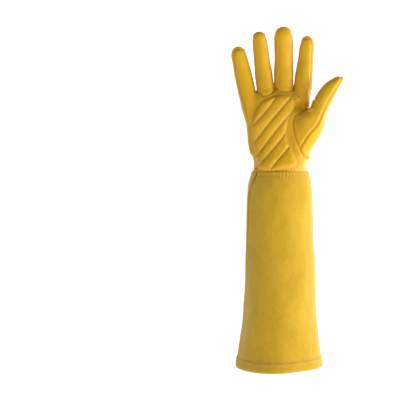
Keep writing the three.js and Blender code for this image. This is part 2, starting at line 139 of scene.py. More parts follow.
# Lines in the palm's plane: out as a share of the palm's width, up of its length.
THUMB_SEAM_FRONT = [(0.9, 0.1), (0.42, 0.14), (0.31, 0.24), (0.25, 0.35), (0.2, 0.5), (0.185, 0.61),
                    (0.21, 0.69), (0.3, 0.745), (0.43, 0.79), (0.47, 0.86), (0.5, 0.95), (0.58, 1.1),
                    (0.7, 1.7)]
THUMB_SEAM_BACK = [(0.9, 0.1), (0.42, 0.13), (0.31, 0.2), (0.31, 0.42), (0.36, 0.66), (0.43, 0.79),
                   (0.47, 0.86), (0.5, 0.95), (0.58, 1.1), (0.7, 1.7)]
BAND_EDGE = [(-0.06, 0.99), (0.09, 0.985), (0.137, 0.98), (0.242, 0.952), (0.368, 0.845), (0.43, 0.79)]
WEB_RIDGE = [(0.2, 0.94), (0.3, 0.885), (0.37, 0.825), (0.425, 0.775)]
PAD_OUTLINE = [(-0.33, 0.1), (-0.4, 0.36), (-0.405, 0.62), (-0.33, 0.8), (-0.2, 0.9), (0, 0.95),
               (0.14, 0.95), (0.215, 0.88), (0.19, 0.78), (0.13, 0.68), (0.09, 0.5), (0.12, 0.36),
               (0.21, 0.2), (0.235, 0.1), (0.17, 0.04), (-0.06, 0.015), (-0.27, 0.02)]
CHANNELS = [
    [(-0.46, 0.52), (-0.399, 0.573), (-0.227, 0.732), (-0.04, 0.952), (0.0, 1.0)],
    [(-0.43, 0.3), (-0.375, 0.36), (-0.165, 0.599), (0.163, 0.942), (0.21, 1.0)],
    [(-0.37, 0.15), (-0.305, 0.226), (-0.08, 0.493), (0.171, 0.752), (0.24, 0.83)],
    [(-0.34, 0.04), (-0.243, 0.134), (-0.125, 0.253), (0.085, 0.493), (0.12, 0.54)],
    [(-0.15, 0.0), (-0.094, 0.074), (0.077, 0.253), (0.155, 0.34), (0.2, 0.39)],
]

# Seams at the base of the two middle fingers' fronts, as (x, z) in millimetres.
RING_BASE = [(-28.2, 354.0), (-22.3, 349.5), (-14.9, 351.5), (-6.9, 357.0)]
MIDDLE_BASE = [(-5.5, 358.5), (1.0, 356.0), (8.0, 355.2), (17.0, 357.0)]

# Up the cuff, as a share of its length. Flare is 0 at the wrist and 1 at the mouth. Sag is the share
# of the mouth's arch that still shows.
CUFF_UP = [0.0, 0.06, 0.14, 0.27, 0.42, 0.64, 0.83, 0.93, 0.975, 1.0]
CUFF_FLARE = [1.0, 0.87, 0.72, 0.52, 0.44, 0.385, 0.31, 0.2, 0.08, -0.02]
CUFF_SAG = [1.0, 0.8, 0.45, 0.1, 0.0, 0.0, 0.0, 0.0, 0.0, 0.0]

# The few tight gathers in front of the wrist, in the leather and the suede alike: their middle across,
# how wide and tall their patch is, and from one to the next.
GATHER_MIDDLE = 0.0075
GATHER_WIDE = 0.014
GATHER_TALL = 0.0055
GATHER_PITCH = 0.0042

# Swellings of the leather, in millimetres: how far it stands out, or in where that is negative, the
# middle across and up, the width and height, and the depths from which and to which it fades in. A
# knuckle and a tendon are across from their finger's axis.
Swelling = namedtuple("Swelling", "out x z wide tall fade")
BACK = (2.0, 12.0)
FRONT = (-2.0, -12.0)
WRIST_BULGE = Swelling(3.6, 34.0, 270.0, 7.0, 4.5, (-12.0, 4.0))
SEAM_LOOP = Swelling(2.0, 36.5, 271.5, 2.8, 3.0, (4.0, -8.0))
WEB_HOLLOW = Swelling(-7.5, 26.5, 335.5, 8.5, 5.8, FRONT)
THUMB_BALL = Swelling(4.5, 29.0, 322.0, 11.0, 8.5, FRONT)
KNUCKLE = Swelling(1.4, 0.0, 339.0, 8.0, 13.0, BACK)
TENDON = Swelling(0.5, 0.0, 305.0, 4.0, 30.0, BACK)

# Beyond this distance the seam attribute of the leather and suede is 1. Nearer the seams the leather's
# finish uses it to paint shade.
SEAM_FADE = 0.008


# Sizes and colours


def length(name, description, default):
    """A property that holds a length."""
    return bpy.props.FloatProperty(
        name=name, description=description, default=default, min=0.0, unit="LENGTH", precision=5)


def colour(name, description, default):
    """A property that holds a colour in linear light."""
    return bpy.props.FloatVectorProperty(
        name=name, description=description, default=default, min=0.0, max=1.0, size=3, subtype="COLOR")


class GauntletHand(bpy.types.PropertyGroup):
    """Sizes of the leather hand."""

    wall: length("Leather thickness", "Wall of the grain leather", 0.0013)
    cell: length("Mesh cell", "Distance between neighbouring points of the surface", 0.00105)
    seam_depth: length("Seam depth", "How far the leather dips at a seam", 0.0011)
    seam_reach: length("Seam reach", "Half the width of that dip", 0.0013)
    lip: length("Seam lip", "How far the leather swells beside a seam", 0.0004)
    strip_lip: length("Strip lip", "How far it swells beside the strips between the fingers", 0.0008)
    pucker: length("Pucker height", "How far the wrist's gathers stand out", 0.0011)
    pucker_pitch: length("Pucker pitch", "From one gather to the next", 0.0048)
    pucker_reach: length("Pucker reach", "How far up and down the gathers fade", 0.0085)
    zigzag: length("Zigzag", "How far the stitches of the gathers swing up and down", 0.0014)
    zigzag_depth: length("Zigzag depth", "How far those stitches pull the leather in", 0.0022)
    crease: length("Crease depth", "Depth of the creases in the thumb's web", 0.0007)
    slackness: length("Slackness", "How far the loose leather waves in and out", 0.0006)


class GauntletPad(bpy.types.PropertyGroup):
    """Sizes of the quilted palm pad."""

    crown: length("Crown", "How far each ridge of the pad stands above its stitches", 0.0026)
    reach: length("Shoulder", "How far from a stitch line a ridge reaches its height", 0.006)
    base: length("Edge thickness", "Thickness along the stitches", 0.0011)
    lap: length("Clearance", "Clearance over the palm's leather", 0.0005)
    slackness: length("Slackness", "How far the pad's leather waves in and out", 0.00018)
    cell: length("Mesh cell", "Distance between neighbouring points of the surface", 0.0011)


class GauntletCuff(bpy.types.PropertyGroup):
    """Sizes of the suede cuff."""

    wall: length("Suede thickness", "Wall of the suede", 0.0018)
    hem: length("Hem height", "Height of the folded hem", 0.009)
    fold: length("Folds", "How far the slack suede waves in and out", 0.0016)
    turned: length("Turned edge", "Height of the turned edge at the wrist", 0.0065)
    seam_depth: length("Seam depth", "How far the suede dips at its side seams", 0.0014)


class GauntletColours(bpy.types.PropertyGroup):
    """Colours of the finishes."""

    leather: colour("Leather", "Golden grain leather", (0.73, 0.402, 0.009))
    # Painted shade: this darker leather colour is mixed in along the seams and the pad's stitch lines.
    leather_deep: colour("Leather in its creases", "The same leather where it is creased",
                         (0.52, 0.25, 0.012))
    suede: colour("Suede", "Napped suede of the cuff", (0.62, 0.375, 0.022))
    suede_deep: colour("Suede against the nap", "The same suede brushed the other way",
                       (0.56, 0.335, 0.018))
    thread: colour("Thread", "Sewing thread", (0.80, 0.56, 0.24))
    floor: colour("Floor", "Floor and backdrop", (0.93, 0.93, 0.93))


GROUPS = {"gauntlet_hand": GauntletHand, "gauntlet_pad": GauntletPad,
          "gauntlet_cuff": GauntletCuff, "gauntlet_colours": GauntletColours}


# Curves and noise


def smooth(at, xs, ys):
    """A curve through the points (xs, ys) that doesn't overshoot them: a cubic in each span, whose
    slope at a point is the harmonic mean of the slopes beside it."""
    xs, ys = np.asarray(xs, float), np.asarray(ys, float)
    step = np.diff(xs)
    rise = np.diff(ys) / step
    slope = np.zeros_like(ys)
    before, after = rise[:-1], rise[1:]
    same = before * after > 0
    slope[1:-1] = np.where(same, 2 * before * after / np.where(same, before + after, 1), 0)
    slope[0], slope[-1] = rise[0], rise[-1]
    at = np.clip(at, xs[0], xs[-1])
    i = np.clip(np.searchsorted(xs, at) - 1, 0, len(step) - 1)
    t = (at - xs[i]) / step[i]
    return ((1 + 2 * t) * (1 - t) ** 2 * ys[i] + t * (1 - t) ** 2 * step[i] * slope[i]
            + t * t * (3 - 2 * t) * ys[i + 1] + t * t * (t - 1) * step[i] * slope[i + 1])


def eased(value, low, high):
    """0 below low, 1 above high, and a smooth step between them."""
    t = np.clip((value - low) / (high - low), 0, 1)
    return t * t * (3 - 2 * t)


def bump(value, width):
    """1 at 0, and falling away over the width, as a bell."""
    return np.exp(-((value / width) ** 2))


def soft_noise(points, size, seed):
    """Soft lumps between -1 and 1: random values at the corners of cells of the size, smoothly
    blended inside each cell."""
    table = np.random.default_rng(seed).uniform(-1, 1, (32, 32, 32))
    at = points / size
    cell = np.floor(at).astype(int)
    t = at - cell
    t = t * t * (3 - 2 * t)
    total = np.zeros(len(points))
    for corner in np.ndindex(2, 2, 2):
        weight = np.prod(np.where(corner, t, 1 - t), axis=1)
        i, j, k = ((cell + corner) % 32).T
        total += weight * table[i, j, k]
    return total


def closed_curve(points, count):
    """A smooth closed curve through the points, sampled evenly by their own spacing: in each span a
    cubic whose slopes are half the step between the points on either side."""
    p = np.asarray(points, float)
    t = np.linspace(0, len(p), count, endpoint=False)
    i = np.floor(t).astype(int)
    t = (t - i)[:, None]
    a, b, c, d = (p[(i + k) % len(p)] for k in (-1, 0, 1, 2))
    return 0.5 * (2 * b + (c - a) * t + (2 * a - 5 * b + 4 * c - d) * t ** 2
                  + (3 * b - a - 3 * c + d) * t ** 3)


def open_curve(points, count):
    """A smooth open curve through the points, sampled at even lengths."""
    p = np.asarray(points, float)
    run = np.concatenate([[0], np.cumsum(np.linalg.norm(np.diff(p, axis=0), axis=1))])
    at = np.linspace(0, run[-1], count)
    return np.stack([smooth(at, run, p[:, k]) for k in range(p.shape[1])], axis=1)


def distance_to_line(points, line, closed=False):
    """Distance in the plane from each point to a line of straight spans, the least over its spans."""
    ends = np.roll(line, -1, axis=0) if closed else line[1:]
    starts = line if closed else line[:-1]
    least = np.full(len(points), 1e9)
    for a, b in zip(starts, ends):
        run = b - a
        t = np.clip(((points - a) @ run) / max(run @ run, 1e-18), 0, 1)
        least = np.minimum(least, np.linalg.norm(points - a - t[:, None] * run, axis=1))
    return least


def inside_outline(points, outline):
    """True where a ray from the point crosses the closed outline an odd number of times."""
    x, z = points.T
    inside = np.zeros(len(points), bool)
    for a, b in zip(outline, np.roll(outline, -1, axis=0)):
        spans = (a[1] > z) != (b[1] > z)
        crossing = a[0] + (z - a[1]) * (b[0] - a[0]) / (b[1] - a[1] if b[1] != a[1] else 1e-12)
        inside ^= spans & (x < crossing)
    return inside


def on_palm(table):
    """A table of shares of the palm's width and length, as points (x, z)."""
    table = np.asarray(table, float)
    return np.stack([table[:, 0] * PALM_WIDTH, CUFF_LENGTH + table[:, 1] * PALM_LENGTH], axis=1)


# The form of the hand


def middle_y(z):
    """Depth of the hand's middle surface: level in the palm, and curling forward with the square of
    the way up the fingers."""
    return -FINGER_CURL * (np.maximum(0, z - CROTCH_Z) / LONGEST) ** 2


def axis_x(finger, z):
    """Where a finger's axis is at a height."""
    return PALM_SHIFT + finger.across * PALM_WIDTH + (z - CROTCH_Z) * math.tan(finger.lean)


def oval_distance(side, depth, over, half_width, half_depth, power=2.0):
    """About the distance to a tube with oval sections and rounded ends. How far the point is out, as
    a share of the oval, less one, is divided by how fast that share grows. Over is how far the point
    is past the start of a rounded end, as a share of the end's length, and that length."""
    longest = 0.06
    a, b = np.abs(side) / half_width, np.abs(depth) / half_depth
    share_out = (a ** power + b ** power + over[0] ** power) ** (1 / power)
    growth = np.sqrt((a ** (power - 1) / half_width) ** 2 + (b ** (power - 1) / half_depth) ** 2
                     + (over[0] ** (power - 1) / over[1]) ** 2)
    growth = growth / np.maximum(share_out, 1e-6) ** (power - 1)
    return (share_out - 1) / np.maximum(growth, 1 / longest)


def finger_distance(finger, x, y, z):
    """Distance to one finger, a tapered oval tube that leans, with a round tip."""
    dx, dz = x - PALM_SHIFT - finger.across * PALM_WIDTH, z - CROTCH_Z
    along = dx * math.sin(finger.lean) + dz * math.cos(finger.lean)
    side = dx * math.cos(finger.lean) - dz * math.sin(finger.lean)
    at = np.where(along < 0, along / PALM_LENGTH, along / finger.length)
    side = side + finger.bend * np.clip(at, 0, 1) ** FINGER_SWING
    half_width = (finger.tip + (finger.base - finger.tip) * smooth(at, FINGER_ALONG, FINGER_FILL)) / 2
    half_depth = finger.depth * smooth(at, FINGER_ALONG, FINGER_DEEP) / 2
    cap = finger.tip * finger.cap
    over = np.maximum(along - finger.length + cap, 0) / cap
    over = over + np.maximum(-FINGER_ROOT * PALM_LENGTH + cap - along, 0) / cap
    return oval_distance(side, y - middle_y(z), (over, cap), half_width, half_depth)


def palm_distance(x, y, z):
    """Distance to the palm, a flattened tube that rounds off between the fingers."""
    up = (z - CUFF_LENGTH) / PALM_LENGTH
    half_width = smooth(up, PALM_UP, PALM_HALF_WIDTH) * MM
    half_depth = smooth(up, PALM_UP, PALM_HALF_DEPTH) * MM
    middle = smooth(up, PALM_UP, PALM_MIDDLE) * MM
    cap, top = 0.015, CROTCH_Z + 0.0005
    over = np.maximum(z - top + cap, 0) / cap
    return oval_distance(x - middle, y, (over, cap), half_width, half_depth, PALM_POWER)


def thumb_place(x, y, z):
    """A point as seen from the thumb: its share along it, and how far it is sideways and behind."""
    dx, dz = x - THUMB_ROOT[0], z - CUFF_LENGTH - THUMB_ROOT[1]
    along = dx * math.sin(THUMB_LEAN) + dz * math.cos(THUMB_LEAN)
    at = along / THUMB_LENGTH
    side = dx * math.cos(THUMB_LEAN) - dz * math.sin(THUMB_LEAN)
    side = side + smooth(at, THUMB_ALONG, THUMB_BOW) * THUMB_LENGTH
    behind = y + smooth(at, THUMB_ALONG, THUMB_AHEAD) * THUMB_FORWARD
    return at, side, behind


def thumb_distance(x, y, z):
    """Distance to the thumb, a tapered oval tube that leans out, bows and comes forward."""
    at, side, behind = thumb_place(x, y, z)
    half_width = smooth(at, THUMB_ALONG, THUMB_WIDE) * THUMB[0] / 2
    half_depth = smooth(at, THUMB_ALONG, THUMB_DEEP) * THUMB[1] / 2
    cap, root_cap = 0.0055, 0.014
    over = np.maximum(at * THUMB_LENGTH - THUMB_LENGTH + cap, 0) / cap
    over = over + np.maximum(THUMB_ALONG[0] * THUMB_LENGTH + root_cap - at * THUMB_LENGTH, 0) / root_cap
    return oval_distance(side, behind, (over, cap), half_width, half_depth)


def melted(a, b, reach):
    """The nearer of two distances, with the corner between the forms filled over the reach."""
    h = np.maximum(reach - np.abs(a - b), 0) / reach
    return np.minimum(a, b) - h * h * reach / 4


def hand_distance(points):
    """Distance to the whole hand: fingers, palm and thumb melted into each other."""
    x, y, z = points.T
    fingers = finger_distance(FINGERS[0], x, y, z)
    for finger in FINGERS[1:]:
        fingers = melted(fingers, finger_distance(finger, x, y, z), FINGER_MELT)
    body = melted(palm_distance(x, y, z), fingers, PALM_MELT)
    web = WEB_MELT[0] + (WEB_MELT[1] - WEB_MELT[0]) * eased(z, *WEB_Z)
    return melted(body, thumb_distance(x, y, z), web)


def hand_normal(points, step=0.0004):
    """Direction in which the distance to the hand grows, from differences over a small step."""
    grown = [hand_distance(points + np.eye(3)[k] * step) - hand_distance(points - np.eye(3)[k] * step)
             for k in range(3)]
    normal = np.stack(grown, axis=1)
    return normal / np.maximum(np.linalg.norm(normal, axis=1, keepdims=True), 1e-12)


def settled(points, rounds=3):
    """Points moved along the normal until they lie on the hand."""
    for _ in range(rounds):
        points = points - hand_normal(points) * hand_distance(points)[:, None]
    return points


# Surfaces


def level_surface(values, low, cell):
    """Quads where a field on a grid is zero. Each cell that the zero level crosses gets one point,
    the mean of the crossings on its edges, and each grid line that it crosses gets the quad of the
    four cells round it."""
    nx, ny, nz = values.shape
    inside = values < 0
    corners = list(np.ndindex(2, 2, 2))
    parts = [inside[i:nx - 1 + i, j:ny - 1 + j, k:nz - 1 + k] for i, j, k in corners]
    count = np.sum(parts, axis=0)
    cells = np.argwhere((count > 0) & (count < 8))
    index = np.full((nx - 1, ny - 1, nz - 1), -1)
    index[tuple(cells.T)] = np.arange(len(cells))
    total, hits = np.zeros((len(cells), 3)), np.zeros(len(cells))
    for a in corners:
        for axis in range(3):
            if a[axis]:
                continue
            b = tuple(v + (k == axis) for k, v in enumerate(a))
            va, vb = values[tuple((cells + a).T)], values[tuple((cells + b).T)]
            crossed = (va < 0) != (vb < 0)
            t = np.where(crossed, va / np.where(crossed, va - vb, 1), 0)
            at = np.array(a, float) + t[:, None] * np.eye(3)[axis]
            total += at * crossed[:, None]
            hits += crossed
    points = low + (cells + total / hits[:, None]) * cell
    quads = []
    for axis in range(3):
        b, c = (axis + 1) % 3, (axis + 2) % 3
        first = np.take(inside, range(values.shape[axis] - 1), axis)
        second = np.take(inside, range(1, values.shape[axis]), axis)
        edge = np.argwhere(first != second)
        edge = edge[(edge[:, b] > 0) & (edge[:, c] > 0)
                    & (edge[:, b] < values.shape[b] - 1) & (edge[:, c] < values.shape[c] - 1)]
        leaving = first[tuple(edge.T)]
        ring = []
        for back_b, back_c in ((1, 1), (0, 1), (0, 0), (1, 0)):
            at = edge.copy()
            at[:, b] -= back_b
            at[:, c] -= back_c
            ring.append(index[tuple(at.T)])
        quad = np.stack(ring, axis=1)
        quads.append(np.where(leaving[:, None], quad, quad[:, ::-1]))
    return points, np.concatenate(quads)


def edges_of(faces):
    """Each edge of the faces once, as pairs of point numbers."""
    pairs = np.concatenate([np.stack([faces[:, k], np.roll(faces, -1, axis=1)[:, k]], axis=1)
                            for k in range(faces.shape[1])])
    return np.unique(np.sort(pairs, axis=1), axis=0)


def relaxed(points, edges):
    """Each point's value, or each coordinate of it, made the mean of its neighbours'."""
    total = np.zeros_like(points)
    count = np.bincount(edges.ravel(), minlength=len(points))
    for a, b in ((0, 1), (1, 0)):
        for k in range(points.shape[1]):
            total[:, k] += np.bincount(edges[:, a], points[edges[:, b], k], minlength=len(points))
    return total / np.maximum(count, 1)[:, None]


def triangles_of(points, quads):
    """The quads as triangles, each quad cut along its shorter diagonal."""
    p = points[quads]
    short = np.linalg.norm(p[:, 0] - p[:, 2], axis=1) < np.linalg.norm(p[:, 1] - p[:, 3], axis=1)
    first = np.where(short[:, None], quads[:, [0, 1, 2]], quads[:, [0, 1, 3]])
    second = np.where(short[:, None], quads[:, [0, 2, 3]], quads[:, [1, 2, 3]])
    return np.concatenate([first, second])


def split_along(points, triangles, values, near=None, snap=0.0):
    """The triangles cut where the values at their corners pass through zero, on edges whose two ends
    are both near. An edge that is cut gets one point, where the value is zero along it."""
    sign = np.sign(np.where(np.abs(values) < snap, 0, values))
    near = np.ones(len(points), bool) if near is None else near
    following = np.roll(triangles, -1, axis=1)
    cut = (sign[triangles] * sign[following] < 0) & near[triangles] & near[following]
    pairs = np.sort(np.stack([triangles[cut], following[cut]], axis=1), axis=1)
    keys, place = np.unique(pairs, axis=0, return_inverse=True)
    if not len(keys):
        return points, triangles
    a, b = keys.T
    t = values[a] / (values[a] - values[b])
    new = points[a] + t[:, None] * (points[b] - points[a])
    middle = np.full(triangles.shape, -1)
    middle[cut] = len(points) + place.ravel()
    count = cut.sum(axis=1)
    kept = [triangles[count == 0]]
    for shift in range(3):
        tri, mid, was = (np.roll(v, -shift, axis=1) for v in (triangles, middle, cut))
        one = (count == 1) & was[:, 0]
        v, m = tri[one], mid[one, 0]
        kept += [np.stack([v[:, 0], m, v[:, 2]], 1), np.stack([m, v[:, 1], v[:, 2]], 1)]
        two = (count == 2) & was[:, 0] & was[:, 2]
        v, m, n = tri[two], mid[two, 0], mid[two, 2]
        kept += [np.stack([v[:, 0], m, n], 1), np.stack([m, v[:, 1], v[:, 2]], 1),
                 np.stack([m, v[:, 2], n], 1)]
    return np.concatenate([points, new]), np.concatenate(kept)


def point_normals(points, triangles):
    """Normals at the points, from the areas of the triangles round them."""
    a, b, c = (points[triangles[:, k]] for k in range(3))
    face = np.cross(b - a, c - a)
    total = np.zeros_like(points)
    for corner in range(3):
        for k in range(3):
            total[:, k] += np.bincount(triangles[:, corner], face[:, k], minlength=len(points))
    return total / np.maximum(np.linalg.norm(total, axis=1, keepdims=True), 1e-15)


def shell(outer, inner, triangles):
    """A sheet and the same sheet further in, turned round, with a strip that joins the two along
    every free edge."""
    pairs = np.concatenate([triangles[:, [0, 1]], triangles[:, [1, 2]], triangles[:, [2, 0]]])
    _, first, count = np.unique(np.sort(pairs, axis=1), axis=0, return_index=True, return_counts=True)
    free = pairs[first[count == 1]]
    n = len(outer)
    strip = np.concatenate([np.stack([free[:, 1], free[:, 0], free[:, 0] + n], 1),
                            np.stack([free[:, 1], free[:, 0] + n, free[:, 1] + n], 1)])
    return np.concatenate([outer, inner]), np.concatenate([triangles, triangles[:, ::-1] + n, strip])


def trimmed(triangles):
    """The triangles numbered over the points that they use, and the numbers of those points."""
    used, number = np.unique(triangles, return_inverse=True)
    return number.reshape(triangles.shape), used


def new_piece(name, points, faces, material, replaces=(), slot=None, attributes=None):
    """A smooth-shaded mesh of the points and faces, riding on the one body. It can replace nodes of the
    CAD and carry values at its points. The slot is not used."""
    mesh = bpy.data.meshes.new(name)
    mesh.vertices.add(len(points))
    mesh.vertices.foreach_set("co", np.asarray(points, np.float32).ravel())
    width = faces.shape[1]
    mesh.loops.add(faces.size)
    mesh.loops.foreach_set("vertex_index", faces.astype(np.int32).ravel())
    mesh.polygons.add(len(faces))
    mesh.polygons.foreach_set("loop_start", np.arange(0, faces.size, width, dtype=np.int32))
    mesh.polygons.foreach_set("loop_total", np.full(len(faces), width, np.int32))
    mesh.polygons.foreach_set("use_smooth", np.ones(len(faces), bool))
    for key, values in (attributes or {}).items():
        mesh.attributes.new(key, "FLOAT", "POINT").data.foreach_set("value", values.astype(np.float32))
    mesh.update(calc_edges=True)
    if mesh.validate():
        raise RuntimeError(f"{name} has faces that Blender had to mend")
    mesh.materials.append(material)
    piece = bpy.data.objects.new(name, mesh)
    bpy.context.scene.collection.objects.link(piece)
    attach(piece, "root")
    if replaces:
        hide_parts(*replaces)
    return piece


# The leather hand

# Corners of the box in which the hand's surface is looked for.
HAND_BOX = np.array([[-0.070, -0.050, CUFF_LENGTH - 0.016], [0.092, 0.036, 0.450]])
# How far below the crotches the strips between the fingers reach.
STRIP_FOOT = 0.016
# How much the side seam lies behind the middle surface, as a share of the distance across: on the
# palm, and up the little and the index finger.
SIDE_TURN = {"palm": 0.2, "little": 0.11, "index": -0.18}
# Depths over which the seam round the thumb passes from its curve on the palm to that on the back.
THUMB_SEAM_TURN = (-0.006, 0.01)


def side_seam(x, z):
    """Depth of the seam between the front and the back of the hand. It lies forward of the middle at
    the little finger's edge, and behind it at the thumb's, but forward again up the index finger."""
    rise = eased(z, CROTCH_Z - 0.02, CROTCH_Z + 0.02)
    finger = np.where(x < 0, SIDE_TURN["little"], SIDE_TURN["index"])
    return middle_y(z) + (SIDE_TURN["palm"] + (finger - SIDE_TURN["palm"]) * rise) * x


def thumb_side(points):
    """How far a point is on the thumb's side of its seam. The seam is one curve on the palm and
    another on the back, and passes from one to the other at the edge."""
    x, y, z = points.T
    up = (z - CUFF_LENGTH) / PALM_LENGTH
    front, back = (smooth(up, [p[1] for p in seam], [p[0] for p in seam])
                   for seam in (THUMB_SEAM_FRONT, THUMB_SEAM_BACK))
    return x - PALM_WIDTH * (front + (back - front) * eased(y, *THUMB_SEAM_TURN))


def thumb_outside(points):
    """How far a point is on the outer side of the seam that runs up the thumb. The seam's surface
    slants outward on its way back from near the thumb's front."""
    slant, ahead = 0.52, 0.8
    at, side, behind = thumb_place(*points.T)
    half_depth = smooth(at, THUMB_ALONG, THUMB_DEEP) * THUMB[1] / 2
    seam = smooth(at, THUMB_SEAM_ALONG, THUMB_SEAM_SIDE) * MM
    return side - seam + slant * (behind + ahead * half_depth)


def strip_edge(points, left, right):
    """Negative on the strip between two fingers: the depth from the middle surface, less half the
    strip's width, which narrows to nothing below the fingertips. The strip reaches less far forward
    than back, so the palm's side hides its seam."""
    below_tip, taper, forward = 0.3, 0.016, 0.74
    x, y, z = points.T
    stops = [CROTCH_Z + f.length * math.cos(f.lean) - f.tip * below_tip for f in (left, right)]
    low, high = axis_x(left, z), axis_x(right, z)
    place = np.clip((x - low) / np.maximum(high - low, 1e-6), 0, 1)
    stop = np.where(place < 0.5, stops[0], stops[1])
    half = FOURCHETTE / 2 * np.sqrt(np.clip((stop - z) / taper, 0, 1))
    depth = y - middle_y(z)
    return np.abs(depth) - half * np.where(depth < 0, forward, 1.0)


def between(points, left, right, reach=0.0):
    """True between the axes of two fingers, or within the reach of them, above the strip's foot."""
    x, _, z = points.T
    return (x > axis_x(left, z) - reach) & (x < axis_x(right, z) + reach) & (z > CROTCH_Z - STRIP_FOOT)


def base_seam(points, table):
    """How far a point is above the seam at the base of a finger's front."""
    table = np.asarray(table) * MM
    return points[:, 2] - smooth(points[:, 0], table[:, 0], table[:, 1])


def piece_of(points):
    """Which piece of leather each point of the hand belongs to."""
    x, y, z = points.T
    label = np.where(y < side_seam(x, z), "palm_front", "back_panel").astype("U24")
    for k, table in ((1, RING_BASE), (2, MIDDLE_BASE)):
        left, finger, right = (axis_x(FINGERS[n], z) for n in (k - 1, k, k + 1))
        own = (x > (left + finger) / 2) & (x < (finger + right) / 2)
        own &= (base_seam(points, table) > 0) & (label == "palm_front")
        label[own] = FINGERS[k].name + "_front"
    for left, right in zip(FINGERS, FINGERS[1:]):
        own = between(points, left, right) & (strip_edge(points, left, right) < 0)
        label[own] = f"fourchette_{left.name}_{right.name}"
    on_thumb = thumb_side(points) > 0
    label[on_thumb & (thumb_outside(points) > 0)] = "thumb_back"
    label[on_thumb & (thumb_outside(points) <= 0)] = "thumb_front"
    return label


def near_base(points, table):
    """True in front of the hand, along the seam at the base of a finger's front and a little past
    its ends."""
    x, y, _ = points.T
    past = 2
    return (y < 0) & (x > (table[0][0] - past) * MM) & (x < (table[-1][0] + past) * MM)


def hand_seams(cell):
    """The hand's seams, in the order in which they cut its surface. Each is a function of the points
    that gives a value, which is zero on the seam, and where the seam is looked for."""
    seams = [
        lambda p: (p[:, 2] - CUFF_LENGTH + TUCK, None),
        lambda p: (thumb_side(p), None),
        lambda p: (p[:, 1] - side_seam(p[:, 0], p[:, 2]), None),
        lambda p: (thumb_outside(p), thumb_side(p) > -cell),
    ]
    for left, right in zip(FINGERS, FINGERS[1:]):
        seams.append(lambda p, a=left, b=right: (strip_edge(p, a, b), between(p, a, b, cell)))
    for table in (RING_BASE, MIDDLE_BASE):
        seams.append(lambda p, t=table: (base_seam(p, t), near_base(p, t)))
    return seams


def hand_skin(cell):
    """The hand's outer surface as triangles that no seam passes through."""
    low, high = HAND_BOX
    snap = cell * 0.22
    shape = np.ceil((high - low) / cell).astype(int)
    axes = [low[k] + np.arange(shape[k]) * cell for k in range(3)]
    x, y, z = np.meshgrid(*axes, indexing="ij")
    values = hand_distance(np.stack([x.ravel(), y.ravel(), z.ravel()], axis=1)).reshape(x.shape)
    points, quads = level_surface(values, low, cell)
    edges = edges_of(quads)
    for _ in range(3):
        points = settled(relaxed(points, edges), 1)
    points = settled(points, 2)
    triangles = triangles_of(points, quads)
    for seam in hand_seams(cell):
        values, near = seam(points)
        points, triangles = split_along(points, triangles, values, near, snap)
    above = points[triangles].mean(axis=1)[:, 2] > CUFF_LENGTH - TUCK
    triangles, used = trimmed(triangles[above])
    return points[used], triangles


def nearest(points, targets, reach):
    """Distance from each point to the nearest target, up to the reach. Both are sorted into slabs by
    height, so that each slab is only compared with the targets near it."""
    pairs_at_once = 4000000
    least = np.full(len(points), reach)
    slabs = np.floor(points[:, 2] / reach).astype(int)
    order = np.argsort(slabs, kind="stable")
    bounds = np.flatnonzero(np.diff(slabs[order])) + 1
    for group in np.split(order, bounds):
        own = targets[np.abs(targets[:, 2] / reach - slabs[group[0]] - 0.5) <= 1.5]
        if not len(own):
            continue
        for part in np.array_split(group, max(1, len(group) * len(own) // pairs_at_once)):
            gap = ((points[part][:, None, :] - own[None]) ** 2).sum(axis=2).min(axis=1)
            least[part] = np.minimum(least[part], np.sqrt(gap))
    return least


def seam_distance(points, triangles, code):
    """Distance from each point to the nearest seam: the edges whose triangles belong to two pieces,
    taken at their ends and middles."""
    edges = np.concatenate([triangles[:, [0, 1]], triangles[:, [1, 2]], triangles[:, [2, 0]]])
    keys, place = np.unique(np.sort(edges, axis=1), axis=0, return_inverse=True)
    least, most = np.full(len(keys), len(triangles)), np.full(len(keys), -1)
    np.minimum.at(least, place.ravel(), np.tile(code, 3))
    np.maximum.at(most, place.ravel(), np.tile(code, 3))
    ends = points[keys[least != most]]
    return nearest(points, np.concatenate([ends[:, 0], ends[:, 1], ends.mean(axis=1)]), SEAM_FADE)


def swelling(points, spot, across=0.0):
    """How far one swelling stands out: a bell across times a bell up, faded in over its depths."""
    x, y, z = points.T
    wide, tall = bump(x - across - spot.x * MM, spot.wide * MM), bump(z - spot.z * MM, spot.tall * MM)
    return spot.out * MM * wide * tall * eased(y, spot.fade[0] * MM, spot.fade[1] * MM)


def wrist_gathers(points, back, front, sizes):
    """Gathers at the wrist. On the back they are uneven waves that fade up and down from a zigzag of
    stitches, which is pulled in between a soft roll below it and one above. In front there are a few
    tight ones just above the seam."""
    x, _, z = points.T
    sway, stitch_wide, tight_height, tight_z = 0.0022, 0.0013, 0.0005, CUFF_LENGTH + 0.001
    rise = z - CUFF_LENGTH - GATHER
    swayed = x + sway * soft_noise(points * [0.6, 0.6, 1.0], 0.009, 3)
    wave = np.cos(2 * math.pi * swayed / sizes.pucker_pitch)
    uneven = 0.75 + 0.5 * soft_noise(points * [1.0, 0.3, 0.3], 0.012, 4)
    out = back * uneven * sizes.pucker * wave * np.exp(-(np.abs(rise) / sizes.pucker_reach) ** 1.5)
    out -= back * sizes.zigzag_depth * bump(rise + sizes.zigzag * wave, stitch_wide)
    out += back * (0.0017 * bump(rise + 0.0085, 0.005) + 0.0013 * bump(rise - 0.009, 0.006))
    tight = bump(x - GATHER_MIDDLE, GATHER_WIDE) * bump(z - tight_z, GATHER_TALL)
    return out + front * tight_height * tight * uneven * np.cos(2 * math.pi * swayed / GATHER_PITCH)


